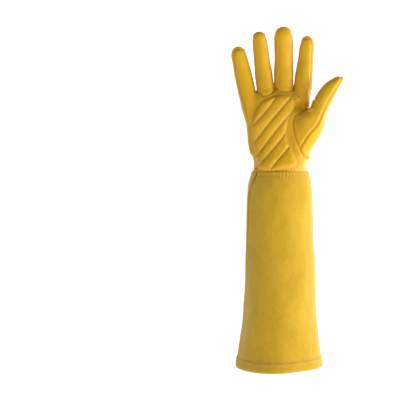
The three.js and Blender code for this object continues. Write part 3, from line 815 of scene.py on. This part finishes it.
def palm_lines(points):
    """Relief of the palm's leather above the pad: a groove along the band's edge with a soft roll
    below it, and a low ridge of the web."""
    flat = points[:, [0, 2]]
    groove_depth, roll_height, ridge_height = 0.0011, 0.0009, 0.0014
    band = open_curve(on_palm(BAND_EDGE), 40)
    gap = distance_to_line(flat, band)
    above = flat[:, 1] - smooth(flat[:, 0], band[:, 0], band[:, 1])
    roll = np.where(above < 0, bump(gap - 0.0022, 0.0018), 0)
    ridge = bump(distance_to_line(flat, open_curve(on_palm(WEB_RIDGE), 20)), 0.0024)
    return roll_height * roll - groove_depth * bump(gap, 0.0011) + ridge_height * ridge


def hand_relief(points, strips, seam, sizes):
    """How far the leather stands out at each point: a dip with soft lips at every seam, higher lips
    beside the strips, gathers at the wrist, lines on the palm, swellings at the knuckles, tendons,
    thumb and web, creases in the web, and slack waves all over."""
    x, y, z = points.T
    back, front = eased(y, 0.002, 0.012), eased(-y, 0.002, 0.012)
    out = -sizes.seam_depth * bump(seam, sizes.seam_reach)
    out += sizes.lip * bump(seam - 2.6 * sizes.seam_reach, 1.5 * sizes.seam_reach)
    crotch = back * bump(z - CROTCH_Z + 0.004, 0.014)
    beside = bump(strips, 0.005) * (0.6 + 0.9 * crotch) * bump(seam - 0.0014, 0.0020)
    out += np.where(strips < 0, -1.0, 1.0) * sizes.strip_lip * beside
    out += wrist_gathers(points, back, front, sizes)
    out += front * palm_lines(points)
    for spot in (WRIST_BULGE, SEAM_LOOP, WEB_HOLLOW, THUMB_BALL):
        out += swelling(points, spot)
    for finger in FINGERS:
        for spot in (KNUCKLE, TENDON):
            out += swelling(points, spot, axis_x(finger, z))
    crease = np.abs(soft_noise(points * [0.8, 1.0, 1.9], 0.010, 5))
    web = bump(x - 0.031, 0.014) * bump(z - 0.331, 0.014)
    out -= sizes.crease * web * (1 - eased(crease, 0.0, 0.3))
    return out + sizes.slackness * (soft_noise(points, 0.019, 1) + 0.45 * soft_noise(points, 0.008, 2))


class GAUNTLET_OT_hand(bpy.types.Operator):
    """Leather of the hand: palm, back, finger fronts, strips between the fingers, and thumb"""

    bl_idname = "gauntlet.hand"
    bl_label = "Leather hand"

    def execute(self, context):
        sizes = context.scene.gauntlet_hand
        points, triangles = hand_skin(sizes.cell)
        names, code = np.unique(piece_of(points[triangles].mean(axis=1)), return_inverse=True)
        seam = seam_distance(points, triangles, code)
        normals = hand_normal(points)
        strips = np.full(len(points), 1.0)
        for left, right in zip(FINGERS, FINGERS[1:]):
            near = between(points, left, right)
            strips[near] = strip_edge(points[near], left, right)
        moved = points + normals * hand_relief(points, strips, seam, sizes)[:, None]
        inner = moved - normals * sizes.wall
        leather = finish("Grain leather", grain_leather)
        for k, name in enumerate(names):
            own, used = trimmed(triangles[code == k])
            body, faces = shell(moved[used], inner[used], own)
            # The seam attribute makes the leather's finish paint shade along the seams.
            new_piece("leather_" + name, body, faces, leather, [name], "grain_leather",
                      {"seam": np.tile(seam[used] / SEAM_FADE, 2)})
        return {"FINISHED"}


# The quilted pad

# Points nearer to a stitch line than this are held by it.
STITCH_HOLD = 0.0006
# Most that the cloth simulation may add to the pad's height.
MOST_SWELLING = 0.0022


def on_front(flat, gap):
    """Points (x, z) of the palm's plane put on the front of the hand, a gap above it: each starts
    well in front and steps back by most of its distance to the hand until that is the gap."""
    start, rounds, share = -0.06, 30, 0.9
    points = np.stack([flat[:, 0], np.full(len(flat), start), flat[:, 1]], axis=1)
    for _ in range(rounds):
        points[:, 1] += (hand_distance(points) - gap) * share
    return points


def channel_lines(count):
    """The pad's sewn channels as lines of the number of points."""
    return [open_curve(on_palm(channel), count) for channel in CHANNELS]


def quilting(flat, sizes):
    """How far the pad stands above its stitches, a quarter round up from the nearest stitch line, and
    how far that line is."""
    edge = distance_to_line(flat, closed_curve(on_palm(PAD_OUTLINE), 140), closed=True)
    lines = [distance_to_line(flat, line) for line in channel_lines(24)]
    near = np.minimum(edge - STITCH_HOLD, np.min(lines, axis=0))
    t = np.clip(near / sizes.reach, 0, 1)
    return sizes.crown * np.sqrt(1 - (1 - t) ** 2), near


def swollen(points, triangles, held, normals):
    """The sheet after a cloth simulation: held along its stitches, and blown out by the wadding
    behind it, no further than the most swelling. The rise is evened out over neighbours."""
    mesh = bpy.data.meshes.new("pad_cloth")
    mesh.from_pydata(points.tolist(), [], triangles.tolist())
    cloth_object = bpy.data.objects.new("pad_cloth", mesh)
    bpy.context.scene.collection.objects.link(cloth_object)
    group = cloth_object.vertex_groups.new(name="held")
    group.add(np.flatnonzero(held).tolist(), 1.0, "REPLACE")
    cloth = cloth_object.modifiers.new("cloth", "CLOTH")
    settings = cloth.settings
    settings.quality = 6
    settings.mass = 0.3
    settings.tension_stiffness = settings.compression_stiffness = 15
    settings.shear_stiffness = 8
    settings.bending_stiffness = 5
    settings.shrink_min = -0.015
    settings.use_pressure = True
    settings.uniform_pressure_force = 4.0
    settings.vertex_group_mass = "held"
    settings.effector_weights.gravity = 0
    cloth.collision_settings.use_collision = False
    last_frame = 16
    for number in range(1, last_frame + 1):
        bpy.context.scene.frame_set(number)
    done = cloth_object.evaluated_get(bpy.context.evaluated_depsgraph_get())
    moved = np.zeros(len(points) * 3)
    done.data.vertices.foreach_get("co", moved)
    moved = moved.reshape(-1, 3)
    bpy.context.scene.frame_set(1)
    bpy.data.objects.remove(cloth_object)
    rise = np.clip(((moved - points) * normals).sum(axis=1), 0, MOST_SWELLING)[:, None]
    edges = edges_of(triangles)
    free = np.where(held, 0.0, 1.0)[:, None]
    for _ in range(6):
        rise = (0.4 * rise + 0.6 * relaxed(rise, edges)) * free
    return points + normals * rise


def pad_sheet(cell):
    """The pad's sheet, flat in the palm's plane: points (x, z) and triangles, which end at the outline
    and have their edges along the channels."""
    outline = closed_curve(on_palm(PAD_OUTLINE), 140)
    margin, snap, beside = 0.003, cell * 0.25, 0.002
    low, high = outline.min(axis=0) - margin, outline.max(axis=0) + margin
    nu, nv = (np.ceil((high - low) / cell)).astype(int)
    u, v = np.meshgrid(np.arange(nu), np.arange(nv), indexing="ij")
    flat = np.stack([low[0] + u.ravel() * cell, low[1] + v.ravel() * cell], axis=1)
    number = (u * nv + v)[:-1, :-1].ravel()
    quads = np.stack([number, number + nv, number + nv + 1, number + 1], axis=1)
    triangles = np.concatenate([quads[:, [0, 1, 2]], quads[:, [0, 2, 3]]])
    edge = np.where(inside_outline(flat, outline), -1, 1) * distance_to_line(flat, outline, closed=True)
    flat, triangles = split_along(flat, triangles, edge, None, snap)
    for line in channel_lines(24):
        above = flat[:, 1] - smooth(flat[:, 0], line[:, 0], line[:, 1])
        near = distance_to_line(flat, line) < beside
        flat, triangles = split_along(flat, triangles, above, near, snap)
    triangles = triangles[inside_outline(flat[triangles].mean(axis=1), outline)]
    triangles, used = trimmed(triangles)
    return flat[used], triangles


class GAUNTLET_OT_pad(bpy.types.Operator):
    """Quilted pad on the palm, swollen between its slanting rows of stitches"""

    bl_idname = "gauntlet.pad"
    bl_label = "Quilted palm pad"

    def execute(self, context):
        sizes = context.scene.gauntlet_pad
        flat, triangles = pad_sheet(sizes.cell)
        base = on_front(flat, sizes.lap)
        normals = hand_normal(base)
        rise, near = quilting(flat, sizes)
        top = base + normals * (sizes.base + rise)[:, None]
        if (point_normals(top, triangles) * normals).sum() < 0:
            triangles = triangles[:, ::-1]
        top = swollen(top, triangles, near < STITCH_HOLD, normals)
        slack = sizes.slackness * soft_noise(base, 0.006, 8) * eased(near, 0.0005, 0.003)
        body, faces = shell(top + normals * slack[:, None], base, triangles)
        # The seam attribute makes the leather's finish paint shade along the pad's stitch lines and
        # outline.
        piece = new_piece("quilted_palm_pad", body, faces, finish("Grain leather", grain_leather),
                          ["palm_pad"], "grain_leather",
                          {"seam": np.tile(np.clip(near / SEAM_FADE, 0, 1), 2)})
        return {"FINISHED"}


# The suede cuff


def cuff_point(angle, up, out=0.0):
    """A point of the cuff: an oval whose width and depth grow from the wrist to the mouth, with the
    mouth's edge arched down at the front and back and tilted, and moved out from the oval. The front's
    arch is a power of the sine, which drops faster at the little finger's side."""
    flare, sag = smooth(up, CUFF_UP, CUFF_FLARE), smooth(up, CUFF_UP, CUFF_SAG)
    half_width = (CUFF_WRIST[0] + (CUFF_MOUTH[0] - CUFF_WRIST[0]) * flare) / 2 + out
    half_depth = (CUFF_WRIST[1] + (CUFF_MOUTH[1] - CUFF_WRIST[1]) * flare) / 2 + out
    sine, cosine = np.sin(angle), np.cos(angle)
    front = MOUTH_ARCH["front"] * np.abs(sine) ** np.clip(0.4 + 0.54 * cosine, 0.45, 1)
    arch = np.where(sine > 0, MOUTH_ARCH["back"] * sine ** 2, front)
    arch = arch - cosine * (MOUTH_TILT[0] + MOUTH_TILT[1] * sine ** 2)
    return np.stack([half_width * cosine, half_depth * sine, up * CUFF_LENGTH - sag * arch], axis=-1)


def seam_turns(up):
    """Angles on the oval of the cuff's two side seams. The one on the thumb's side lies a little
    round the back. The other lies 7 degrees forward of the edge, comes 14 degrees further forward
    over its middle half, and 14 more just below the wrist."""
    forward = 7 + 14 * eased(up, 0.25, 0.75) + 14 * eased(up, 0.86, 1.0)
    return np.full_like(up, SEAM_NEAR), math.pi + np.radians(forward)


def seam_gap(angle, up):
    """About the distance round the cuff from a point to the nearer side seam."""
    turns = [np.abs((angle - seam + math.pi) % (2 * math.pi) - math.pi) for seam in seam_turns(up)]
    return np.minimum(*turns) * CUFF_RADIUS


def cuff_relief(angle, up, sizes):
    """How far the suede stands out: soft folds that calm towards the wrist, a dip at the side seams
    with a roll beside it, the turned edge at the wrist with its stitch line, and in front of the
    wrist a few tight gathers over a low rim."""
    roll_height, edge_height, stitch_depth = 0.0006, 0.0005, 0.0006
    tight_height, rim_height = 0.0006, 0.0004
    z = up * CUFF_LENGTH
    down = CUFF_LENGTH - z
    at = np.stack([0.04 * np.cos(angle), 0.04 * np.sin(angle), z], axis=-1).reshape(-1, 3)
    slow = soft_noise(at * [1, 1, 0.45], 0.026, 11).reshape(up.shape)
    fine = soft_noise(at * [1, 1, 0.7], 0.011, 12).reshape(up.shape)
    edge = seam_gap(angle, up)
    back = eased(np.sin(angle), -0.2, 0.1)
    out = sizes.fold * (slow + 0.3 * fine) * (0.25 + 0.75 * eased(down, 0.0, 0.02))
    out += roll_height * bump(edge - 0.0040, 0.0025) - sizes.seam_depth * bump(edge, 0.0016)
    out += back * edge_height * (1 - eased(down, sizes.turned, sizes.turned + 0.0015))
    out -= back * stitch_depth * bump(down - sizes.turned + 0.0012, 0.0008)
    x = CUFF_WRIST[0] / 2 * np.cos(angle)
    tight = bump(x - GATHER_MIDDLE, GATHER_WIDE) * bump(down - 0.0015, GATHER_TALL)
    wave = np.cos(2 * math.pi * x / GATHER_PITCH)
    out += (1 - back) * tight_height * tight * (0.8 + 0.5 * fine) * wave
    rim = bump(down - 0.0015, 0.0016) - bump(down - 0.0045, 0.0011)
    return out + (1 - back) * rim_height * rim


def grid_quads(number, wrap=False):
    """Quads between neighbours on a grid of point numbers. With wrap, the last row and column join
    the first."""
    if wrap:
        right, above = np.roll(number, -1, axis=0), np.roll(number, -1, axis=1)
        both = np.roll(right, -1, axis=1)
    else:
        right, above, both = number[1:, :-1], number[:-1, 1:], number[1:, 1:]
        number = number[:-1, :-1]
    return np.stack([number, right, both, above], axis=-1).reshape(-1, 4)


def cuff_panel(name, forward, sizes, suede):
    """One panel of the cuff on a grid: across it from seam to seam, and up it from mouth to wrist.
    The front panel's edges pass under the back's by the lap, in radians. The back's corner at the far
    seam rises past the wrist as a tuck, and stands out there."""
    nu, nv = 170, 250
    lap, clearance = 0.13, 0.0002
    wrist_radius, tuck_wide, tuck_rise, tuck_out = 0.038, 0.009, 0.0045, 0.0012
    across, up = np.meshgrid(np.linspace(0, 1, nu), np.linspace(0.003, 1, nv), indexing="ij")
    near, far = seam_turns(up)
    if forward:
        start, turn = far - lap, near + 2 * math.pi + lap - (far - lap)
    else:
        start, turn = near, far - near
    angle = start + turn * across
    out = cuff_relief(angle, up, sizes)
    tuck = np.zeros_like(up)
    if forward:
        under = np.maximum(far - angle, angle - near - 2 * math.pi) / lap
        out -= (sizes.wall + clearance) * eased(under, -0.1, 0.1)
    else:
        tuck = bump((far - angle) * wrist_radius, tuck_wide) * eased(up, 0.9, 1.0)
        out += tuck_out * tuck
    sheets = [cuff_point(angle, up, out), cuff_point(angle, up, out - sizes.wall)]
    for sheet in sheets:
        sheet[..., 2] += tuck_rise * tuck
    points, inner = (sheet.reshape(-1, 3) for sheet in sheets)
    number = np.arange(nu * nv).reshape(nu, nv)
    quads = grid_quads(number)
    rim = np.concatenate([number[:, 0], number[-1, 1:], number[-2::-1, -1], number[0, -2:0:-1]])
    following, count = np.roll(rim, -1), nu * nv
    strip = np.stack([following, rim, rim + count, following + count], axis=1)
    seam = np.clip(seam_gap(angle, up) / SEAM_FADE, 0, 1).ravel()
    new_piece("suede_" + name, np.concatenate([points, inner]),
              np.concatenate([quads, quads[:, ::-1] + count, strip]), suede, [name], "suede",
              {"seam": np.tile(seam, 2)})


class GAUNTLET_OT_cuff(bpy.types.Operator):
    """The two suede panels of the long cuff"""

    bl_idname = "gauntlet.cuff"
    bl_label = "Suede cuff"

    def execute(self, context):
        sizes = context.scene.gauntlet_cuff
        suede = finish("Napped suede", napped_suede)
        cuff_panel("cuff_back", False, sizes, suede)
        cuff_panel("cuff_front", True, sizes, suede)
        return {"FINISHED"}


def hem_section(sizes):
    """Section of the hem as (out, rise), from its inner edge down, through the fold that takes in the
    suede, up to the thin outer edge over its stitches, and back down round the outside."""
    lap, skin, high, inside = 0.0003, 0.0008, sizes.hem, -sizes.wall
    reach = lap + skin
    return np.array([
        (inside - lap, high), (inside - lap, 0.002), (inside - lap, -0.0002), (inside / 2, -lap),
        (lap, -0.0002), (lap, 0.002), (lap, high - 0.002), (-lap, high),
        (-lap * 0.7, high + 0.0026), (reach * 0.4, high + 0.0016), (reach * 0.8, high + 0.0006),
        (reach, high - 0.0004), (reach * 0.75, high - 0.0014), (reach, high - 0.0026),
        (reach, high * 0.4), (reach, 0.001), (reach * 0.8, -0.0012), (0.0, -0.0019),
        (inside, -0.0019), (inside - reach * 0.8, -0.0012), (inside - reach, 0.001),
        (inside - reach, high * 0.5), (inside - reach, high - 0.0004),
        (inside - reach * 0.8, high + 0.0004)])


class GAUNTLET_OT_hem(bpy.types.Operator):
    """The folded hem round the mouth of the cuff"""

    bl_idname = "gauntlet.hem"
    bl_label = "Cuff hem"

    def execute(self, context):
        sizes = context.scene.gauntlet_cuff
        count = 360
        section = hem_section(sizes)
        angle, number = np.meshgrid(np.linspace(0, 2 * math.pi, count, endpoint=False),
                                    np.arange(len(section)), indexing="ij")
        out, rise = section[number, 0], section[number, 1]
        up = np.clip(rise / CUFF_LENGTH, 0, 1)
        at = np.stack([0.05 * np.cos(angle), 0.05 * np.sin(angle), angle * 0], axis=-1).reshape(-1, 3)
        wave = 0.0006 * soft_noise(at, 0.014, 21).reshape(angle.shape) * (1 - eased(rise, 0.003, 0.007))
        points = cuff_point(angle, up, out + wave + cuff_relief(angle, up, sizes))
        points[..., 2] += rise - up * CUFF_LENGTH
        faces = grid_quads(np.arange(angle.size).reshape(angle.shape), wrap=True)[:, ::-1]
        new_piece("suede_cuff_hem", points.reshape(-1, 3), faces, finish("Napped suede", napped_suede),
                  ["cuff_hem"], "suede")
        return {"FINISHED"}


# Thread


def stitch_row(path, normals, pitch, share_on, thick):
    """Stitches along a path: each is a short thread with six sides, thin at its ends, that lies along
    the path and is half sunk into the leather."""
    run = np.concatenate([[0], np.cumsum(np.linalg.norm(np.diff(path, axis=0), axis=1))])
    starts = np.arange(pitch * 0.5, run[-1] - pitch, pitch)
    rings = np.linspace(0, 1, 5)
    at = starts[:, None] + rings * pitch * share_on
    centre = np.stack([np.interp(at, run, path[:, k]) for k in range(3)], axis=-1)
    up = np.stack([np.interp(at, run, normals[:, k]) for k in range(3)], axis=-1)
    up /= np.linalg.norm(up, axis=-1, keepdims=True)
    ahead = np.gradient(centre, axis=1)
    ahead /= np.linalg.norm(ahead, axis=-1, keepdims=True)
    side = np.cross(ahead, up)
    fat = thick * np.sqrt(np.clip(1 - (2 * rings - 1) ** 4, 0.05, 1))
    turn = np.arange(6) * math.pi / 3
    points = (centre[:, :, None] + up[:, :, None] * (0.35 * thick)
              + side[:, :, None] * (np.cos(turn)[:, None] * fat[:, None, None])
              + up[:, :, None] * (np.sin(turn)[:, None] * fat[:, None, None]))
    index = np.arange(len(starts) * 30).reshape(-1, 5, 6)
    around = np.roll(index, -1, axis=2)
    sides = np.stack([index[:, :-1], around[:, :-1], around[:, 1:], index[:, 1:]], -1).reshape(-1, 4)
    ends = [index[:, ring][:, order] for ring, order in ((0, [0, 3, 2, 1]), (0, [0, 5, 4, 3]),
                                                         (4, [0, 1, 2, 3]), (4, [0, 3, 4, 5]))]
    return points.reshape(-1, 3), np.concatenate([sides, *ends])


def joined(rows):
    """Several lots of points and faces as one."""
    starts = np.cumsum([0] + [len(points) for points, _ in rows])
    faces = [faces + start for (_, faces), start in zip(rows, starts)]
    return np.concatenate([points for points, _ in rows]), np.concatenate(faces)


def pad_rows(sizes):
    """Rows of stitches on the pad: one just inside its outline, and one along each channel."""
    outline = closed_curve(on_palm(PAD_OUTLINE), 400)
    inward = outline.mean(axis=0) - outline
    border = outline + inward / np.linalg.norm(inward, axis=1)[:, None] * 0.0007
    rows = []
    for line in [border] + [line[inside_outline(line, outline)] for line in channel_lines(160)]:
        base = on_front(line, sizes.lap)
        normals = hand_normal(base)
        rows.append(stitch_row(base + normals * (sizes.base + 0.0001), normals, 0.0029, 0.78, 0.00033))
    return rows


def cuff_rows(sizes):
    """Rows of stitches on the cuff: one along its turned edge at the back, and one round its hem. A
    row runs between two angles, at a height, and lies above the suede by a lift."""
    near, far = (float(turn) for turn in seam_turns(np.array(1.0)))
    turned = (near + 0.04, far - 0.04, CUFF_LENGTH - sizes.turned + 0.0012, 0.0)
    hem = (0.0, 2 * math.pi, sizes.hem - 0.0014, 0.0008)
    rows = []
    for first, last, height, lift in (turned, hem):
        angle = np.linspace(first, last, 500)
        up = np.full_like(angle, height / CUFF_LENGTH)
        out = cuff_relief(angle, up, sizes) + lift
        path = cuff_point(angle, up, out)
        normals = cuff_point(angle, up, out + 0.001) - path
        rows.append(stitch_row(path, normals, 0.0034, 0.75, 0.0003))
    return rows


class GAUNTLET_OT_thread(bpy.types.Operator):
    """Rows of stitches on the pad, the turned edge of the cuff and its hem"""

    bl_idname = "gauntlet.thread"
    bl_label = "Stitches"

    def execute(self, context):
        thread = finish("Sewing thread", sewing_thread)
        new_piece("pad_stitches", *joined(pad_rows(context.scene.gauntlet_pad)), thread)
        new_piece("cuff_stitches", *joined(cuff_rows(context.scene.gauntlet_cuff)), thread)
        return {"FINISHED"}


# Finishes


def finish(name, build):
    """The material of this name. It is made once, by the function, which gets a way to add nodes and
    returns the shader. A node's inputs are given by name, or by number as i0, i1 and so on, and each
    is set to a value or linked from another node's output."""
    material = bpy.data.materials.get(name)
    if material:
        return material
    material = bpy.data.materials.new(name)
    material.use_nodes = True
    tree = material.node_tree
    tree.nodes.clear()

    def add(kind, settings=None, **inputs):
        node = tree.nodes.new(kind)
        for key, value in (settings or {}).items():
            setattr(node, key, value)
        for key, value in inputs.items():
            socket = node.inputs[int(key[1:]) if key[1:].isdigit() else key.replace("_", " ")]
            if isinstance(value, bpy.types.NodeSocket):
                tree.links.new(value, socket)
            else:
                socket.default_value = value
        return node

    add("ShaderNodeOutputMaterial", Surface=build(add).outputs[0])
    return material


def ramp(add, value, stops):
    """A colour ramp with its stops, as (place, colour)."""
    node = add("ShaderNodeValToRGB", Fac=value)
    band = node.color_ramp
    while len(band.elements) < len(stops):
        band.elements.new(0.5)
    for element, (place, rgb) in zip(band.elements, stops):
        element.position = place
        element.color = (*rgb, 1.0)
    return node.outputs["Color"]


def grain_leather(add):
    """Golden grain leather: mottled colour, with painted shade that darkens it towards the seams and
    the pad's stitch lines, fine pebbled grain and a soft gloss."""
    colours = bpy.context.scene.gauntlet_colours
    light, deep = np.array(colours.leather), np.array(colours.leather_deep)
    place = add("ShaderNodeTexCoord").outputs["Object"]
    seam = add("ShaderNodeAttribute", {"attribute_name": "seam"}).outputs["Fac"]
    cloudy = add("ShaderNodeTexNoise", Vector=place, Scale=38.0, Detail=4.0, Roughness=0.55)
    pebble = add("ShaderNodeTexVoronoi", {"feature": "F1"}, Vector=place, Scale=1150.0)
    crease = add("ShaderNodeTexNoise", Vector=place, Scale=210.0, Detail=6.0, Roughness=0.62,
                 Distortion=0.6)
    body = ramp(add, cloudy.outputs["Fac"],
                [(0.3, light * 0.93), (0.5, light), (0.72, np.minimum(light * 1.06, 1))])
    # Painted shade: towards the seams the colour is mixed with the darker seam colour, by the seam
    # attribute.
    edge = ramp(add, seam, [(0.0, deep), (0.08, deep * 0.35 + light * 0.64), (0.3, light * 0.98)])
    seam_shade_amount = ramp(add, seam, [(0.0, (0.65,) * 3), (0.08, (0.42,) * 3), (0.3, (0, 0, 0))])
    mixed = add("ShaderNodeMix", {"data_type": "RGBA"}, Factor=seam_shade_amount, A=body, B=edge)
    height = add("ShaderNodeMath", {"operation": "MULTIPLY_ADD"}, i0=pebble.outputs["Distance"],
                 i1=0.35, i2=crease.outputs["Fac"])
    relief = add("ShaderNodeBump", Strength=0.3, Distance=0.00035, Height=height.outputs[0])
    rough = add("ShaderNodeMapRange", i0=crease.outputs["Fac"], i1=0.3, i2=0.7, i3=0.36, i4=0.5)
    return add("ShaderNodeBsdfPrincipled", Base_Color=mixed.outputs["Result"],
               Roughness=rough.outputs[0], Normal=relief.outputs["Normal"], IOR=1.45,
               Specular_IOR_Level=0.42, Specular_Tint=(1.0, 0.92, 0.7, 1.0), Sheen_Weight=0.33,
               Sheen_Roughness=0.45, Sheen_Tint=(1.0, 0.96, 0.8, 1.0))


def napped_suede(add):
    """Suede: two tones where the nap lies one way or the other, a fine fibrous bump, and no gloss."""
    colours = bpy.context.scene.gauntlet_colours
    light, deep = np.array(colours.suede), np.array(colours.suede_deep)
    place = add("ShaderNodeTexCoord").outputs["Object"]
    stretched = add("ShaderNodeMapping", Vector=place, Scale=(1.0, 1.0, 0.55)).outputs[0]
    brushed = add("ShaderNodeTexNoise", Vector=stretched, Scale=60.0, Detail=2.0, Roughness=0.5,
                  Distortion=0.4)
    mottle = add("ShaderNodeTexNoise", Vector=stretched, Scale=330.0, Detail=4.0, Roughness=0.65)
    fibre = add("ShaderNodeTexNoise", Vector=stretched, Scale=1600.0, Detail=3.0, Roughness=0.7)
    tone = 0.0
    for noise, weight in ((brushed, 0.32), (mottle, 0.44), (fibre, 0.24)):
        tone = add("ShaderNodeMath", {"operation": "MULTIPLY_ADD"}, i0=noise.outputs["Fac"], i1=weight,
                   i2=tone).outputs[0]
    body = ramp(add, tone, [(0.4, deep), (0.52, light), (0.64, np.minimum(light * 1.08, 1))])
    relief = add("ShaderNodeBump", Strength=0.45, Distance=0.0005, Height=tone)
    return add("ShaderNodeBsdfPrincipled", Base_Color=body, Roughness=0.95,
               Normal=relief.outputs["Normal"], Specular_IOR_Level=0.1, Sheen_Weight=0.6,
               Sheen_Roughness=0.5, Sheen_Tint=(1.0, 0.96, 0.75, 1.0))


def sewing_thread(add):
    """Waxed thread: one colour, darkened by up to a quarter in fine wave bands."""
    tan = np.array(bpy.context.scene.gauntlet_colours.thread)
    place = add("ShaderNodeTexCoord").outputs["Object"]
    twist = add("ShaderNodeTexWave", Vector=place, Scale=900.0, Distortion=1.0)
    body = ramp(add, twist.outputs["Fac"], [(0.0, tan * 0.75), (1.0, tan)])
    return add("ShaderNodeBsdfPrincipled", Base_Color=body, Roughness=0.6)


def pale_floor(add):
    """The floor and backdrop: plain and pale, with a glow of its own."""
    shade = (*bpy.context.scene.gauntlet_colours.floor, 1.0)
    return add("ShaderNodeBsdfPrincipled", Base_Color=shade, Roughness=0.9,
               Emission_Color=(1, 1, 1, 1), Emission_Strength=0.42)


# Stage

# Strength of the sky's light on the gauntlet, and of the sky where the camera sees it.
SKY_LIGHT = 0.29
SKY_SEEN = 0.72

# Lights: where each stands, what it points at, its size and its power.
Light = namedtuple("Light", "name place target size power")
LIGHTS = [
    Light("key", (1.4, -0.8, 0.1), (0.0, 0.0, 0.27), 0.6, 12),
    Light("near", (0.3, -0.7, -0.02), (0.0, 0.0, 0.24), 0.3, 1.5),
    Light("side", (1.6, -0.1, 0.05), (0.0, 0.0, 0.27), 0.8, 18),
    Light("edge", (1.1, 0.8, 0.3), (0.0, 0.0, 0.27), 0.8, 8.5),
    Light("back", (-1.2, 1.4, 0.8), (0.0, 0.0, 0.25), 1.2, 4),
]

# The floor runs level to where it curves up behind, by the curve's radius, into a wall.
FLOOR_Z = -0.06
FLOOR_REACH = 9.0
CURVE_START = 1.2
CURVE_RADIUS = 0.8
WALL_HEIGHT = 3.5

# The camera, and half the width that it sees at a distance.
CAMERA_PLACE = (0.0, -1.5, 0.286)
CAMERA_TARGET = (-0.1048, 0.0, 0.2142)
SENSOR = 36
SEEN_AT = 1.5047
HALF_SEEN = 0.262


def aimed(thing, place, target):
    """Puts a light or camera somewhere and points it at a target."""
    thing.location = place
    thing.rotation_mode = "QUATERNION"
    thing.rotation_quaternion = (Vector(target) - Vector(place)).to_track_quat("-Z", "Y")


def soft_light(light):
    """A square area light that the camera doesn't see."""
    data = bpy.data.lights.new(light.name, "AREA")
    data.shape, data.size, data.energy = "SQUARE", light.size, light.power
    thing = bpy.data.objects.new(light.name, data)
    thing.visible_camera = False
    bpy.context.scene.collection.objects.link(thing)
    aimed(thing, light.place, light.target)


def backdrop():
    """The floor: a profile that is level, curves up by a quarter round and rises, carried sideways."""
    turn = np.linspace(0.1, 1.57, 14)
    end = CURVE_START + CURVE_RADIUS
    run = np.array([-FLOOR_REACH, 0.0, CURVE_START, *(CURVE_START + CURVE_RADIUS * np.sin(turn)), end])
    rise = np.array([0.0, 0.0, 0.0, *(CURVE_RADIUS - CURVE_RADIUS * np.cos(turn)), WALL_HEIGHT])
    x, row = np.meshgrid(np.linspace(-FLOOR_REACH, FLOOR_REACH, 9), np.arange(len(run)), indexing="ij")
    points = np.stack([x, run[row], FLOOR_Z + rise[row]], axis=-1).reshape(-1, 3)
    faces = grid_quads(np.arange(x.size).reshape(x.shape))
    mesh = bpy.data.meshes.new("floor")
    mesh.from_pydata(points.tolist(), [], faces.tolist())
    mesh.polygons.foreach_set("use_smooth", np.ones(len(faces), bool))
    mesh.materials.append(finish("Pale floor", pale_floor))
    floor = bpy.data.objects.new("floor", mesh)
    bpy.context.scene.collection.objects.link(floor)


def pale_sky(scene):
    """A plain sky, brighter where the camera sees it than where it lights the gauntlet."""
    world = scene.world or bpy.data.worlds.new("World")
    scene.world = world
    world.use_nodes = True
    tree = world.node_tree
    sky = tree.nodes["Background"]
    sky.inputs["Color"].default_value = (1.0, 0.99, 0.97, 1.0)
    strength = tree.nodes.new("ShaderNodeMapRange")
    strength.inputs["To Min"].default_value = SKY_LIGHT
    strength.inputs["To Max"].default_value = SKY_SEEN
    seen = tree.nodes.new("ShaderNodeLightPath").outputs["Is Camera Ray"]
    tree.links.new(seen, strength.inputs["Value"])
    tree.links.new(strength.outputs["Result"], sky.inputs["Strength"])


class GAUNTLET_OT_stage(bpy.types.Operator):
    """Pale floor that curves up behind, soft light and camera"""

    bl_idname = "gauntlet.stage"
    bl_label = "Floor, light and camera"

    def execute(self, context):
        scene = context.scene
        backdrop()
        pale_sky(scene)
        for light in LIGHTS:
            soft_light(light)
        scene.view_settings.view_transform = "Standard"
        scene.view_settings.look = "None"
        camera = bpy.data.objects.new("camera", bpy.data.cameras.new("camera"))
        scene.collection.objects.link(camera)
        aimed(camera, CAMERA_PLACE, CAMERA_TARGET)
        camera.data.sensor_width = SENSOR
        camera.data.lens = SENSOR / 2 * SEEN_AT / HALF_SEEN
        camera.data.clip_start, camera.data.clip_end = 0.05, 50
        scene.camera = camera
        return {"FINISHED"}


class GAUNTLET_PT_pieces(bpy.types.Panel):
    """Pieces and sizes of the gauntlet"""

    bl_idname = "GAUNTLET_PT_pieces"
    bl_label = "Rose pruning gauntlet"
    bl_space_type = "VIEW_3D"
    bl_region_type = "UI"
    bl_category = "Gauntlet"

    def draw(self, context):
        layout = self.layout
        for operator in OPERATORS:
            layout.operator(operator.bl_idname)
        for key, group in GROUPS.items():
            box = layout.box()
            box.label(text=group.__doc__)
            for field in group.__annotations__:
                box.prop(getattr(context.scene, key), field)


OPERATORS = [GAUNTLET_OT_stage, GAUNTLET_OT_hand, GAUNTLET_OT_pad, GAUNTLET_OT_cuff, GAUNTLET_OT_hem,
             GAUNTLET_OT_thread]


def register():
    """Registers the sizes and colours, the operators and the panel."""
    for group in GROUPS.values():
        bpy.utils.register_class(group)
    for key, group in GROUPS.items():
        setattr(bpy.types.Scene, key, bpy.props.PointerProperty(type=group))
    for operator in OPERATORS:
        bpy.utils.register_class(operator)
    bpy.utils.register_class(GAUNTLET_PT_pieces)


def unregister():
    """Takes back all that register does."""
    bpy.utils.unregister_class(GAUNTLET_PT_pieces)
    for operator in reversed(OPERATORS):
        bpy.utils.unregister_class(operator)
    for key, group in GROUPS.items():
        delattr(bpy.types.Scene, key)
        bpy.utils.unregister_class(group)


def main():
    """Registers the tools and dresses the gauntlet."""
    register()
    bpy.ops.gauntlet.stage()
    bpy.ops.gauntlet.hand()
    bpy.ops.gauntlet.pad()
    bpy.ops.gauntlet.cuff()
    bpy.ops.gauntlet.hem()
    bpy.ops.gauntlet.thread()


if __name__ == "__main__":
    main()
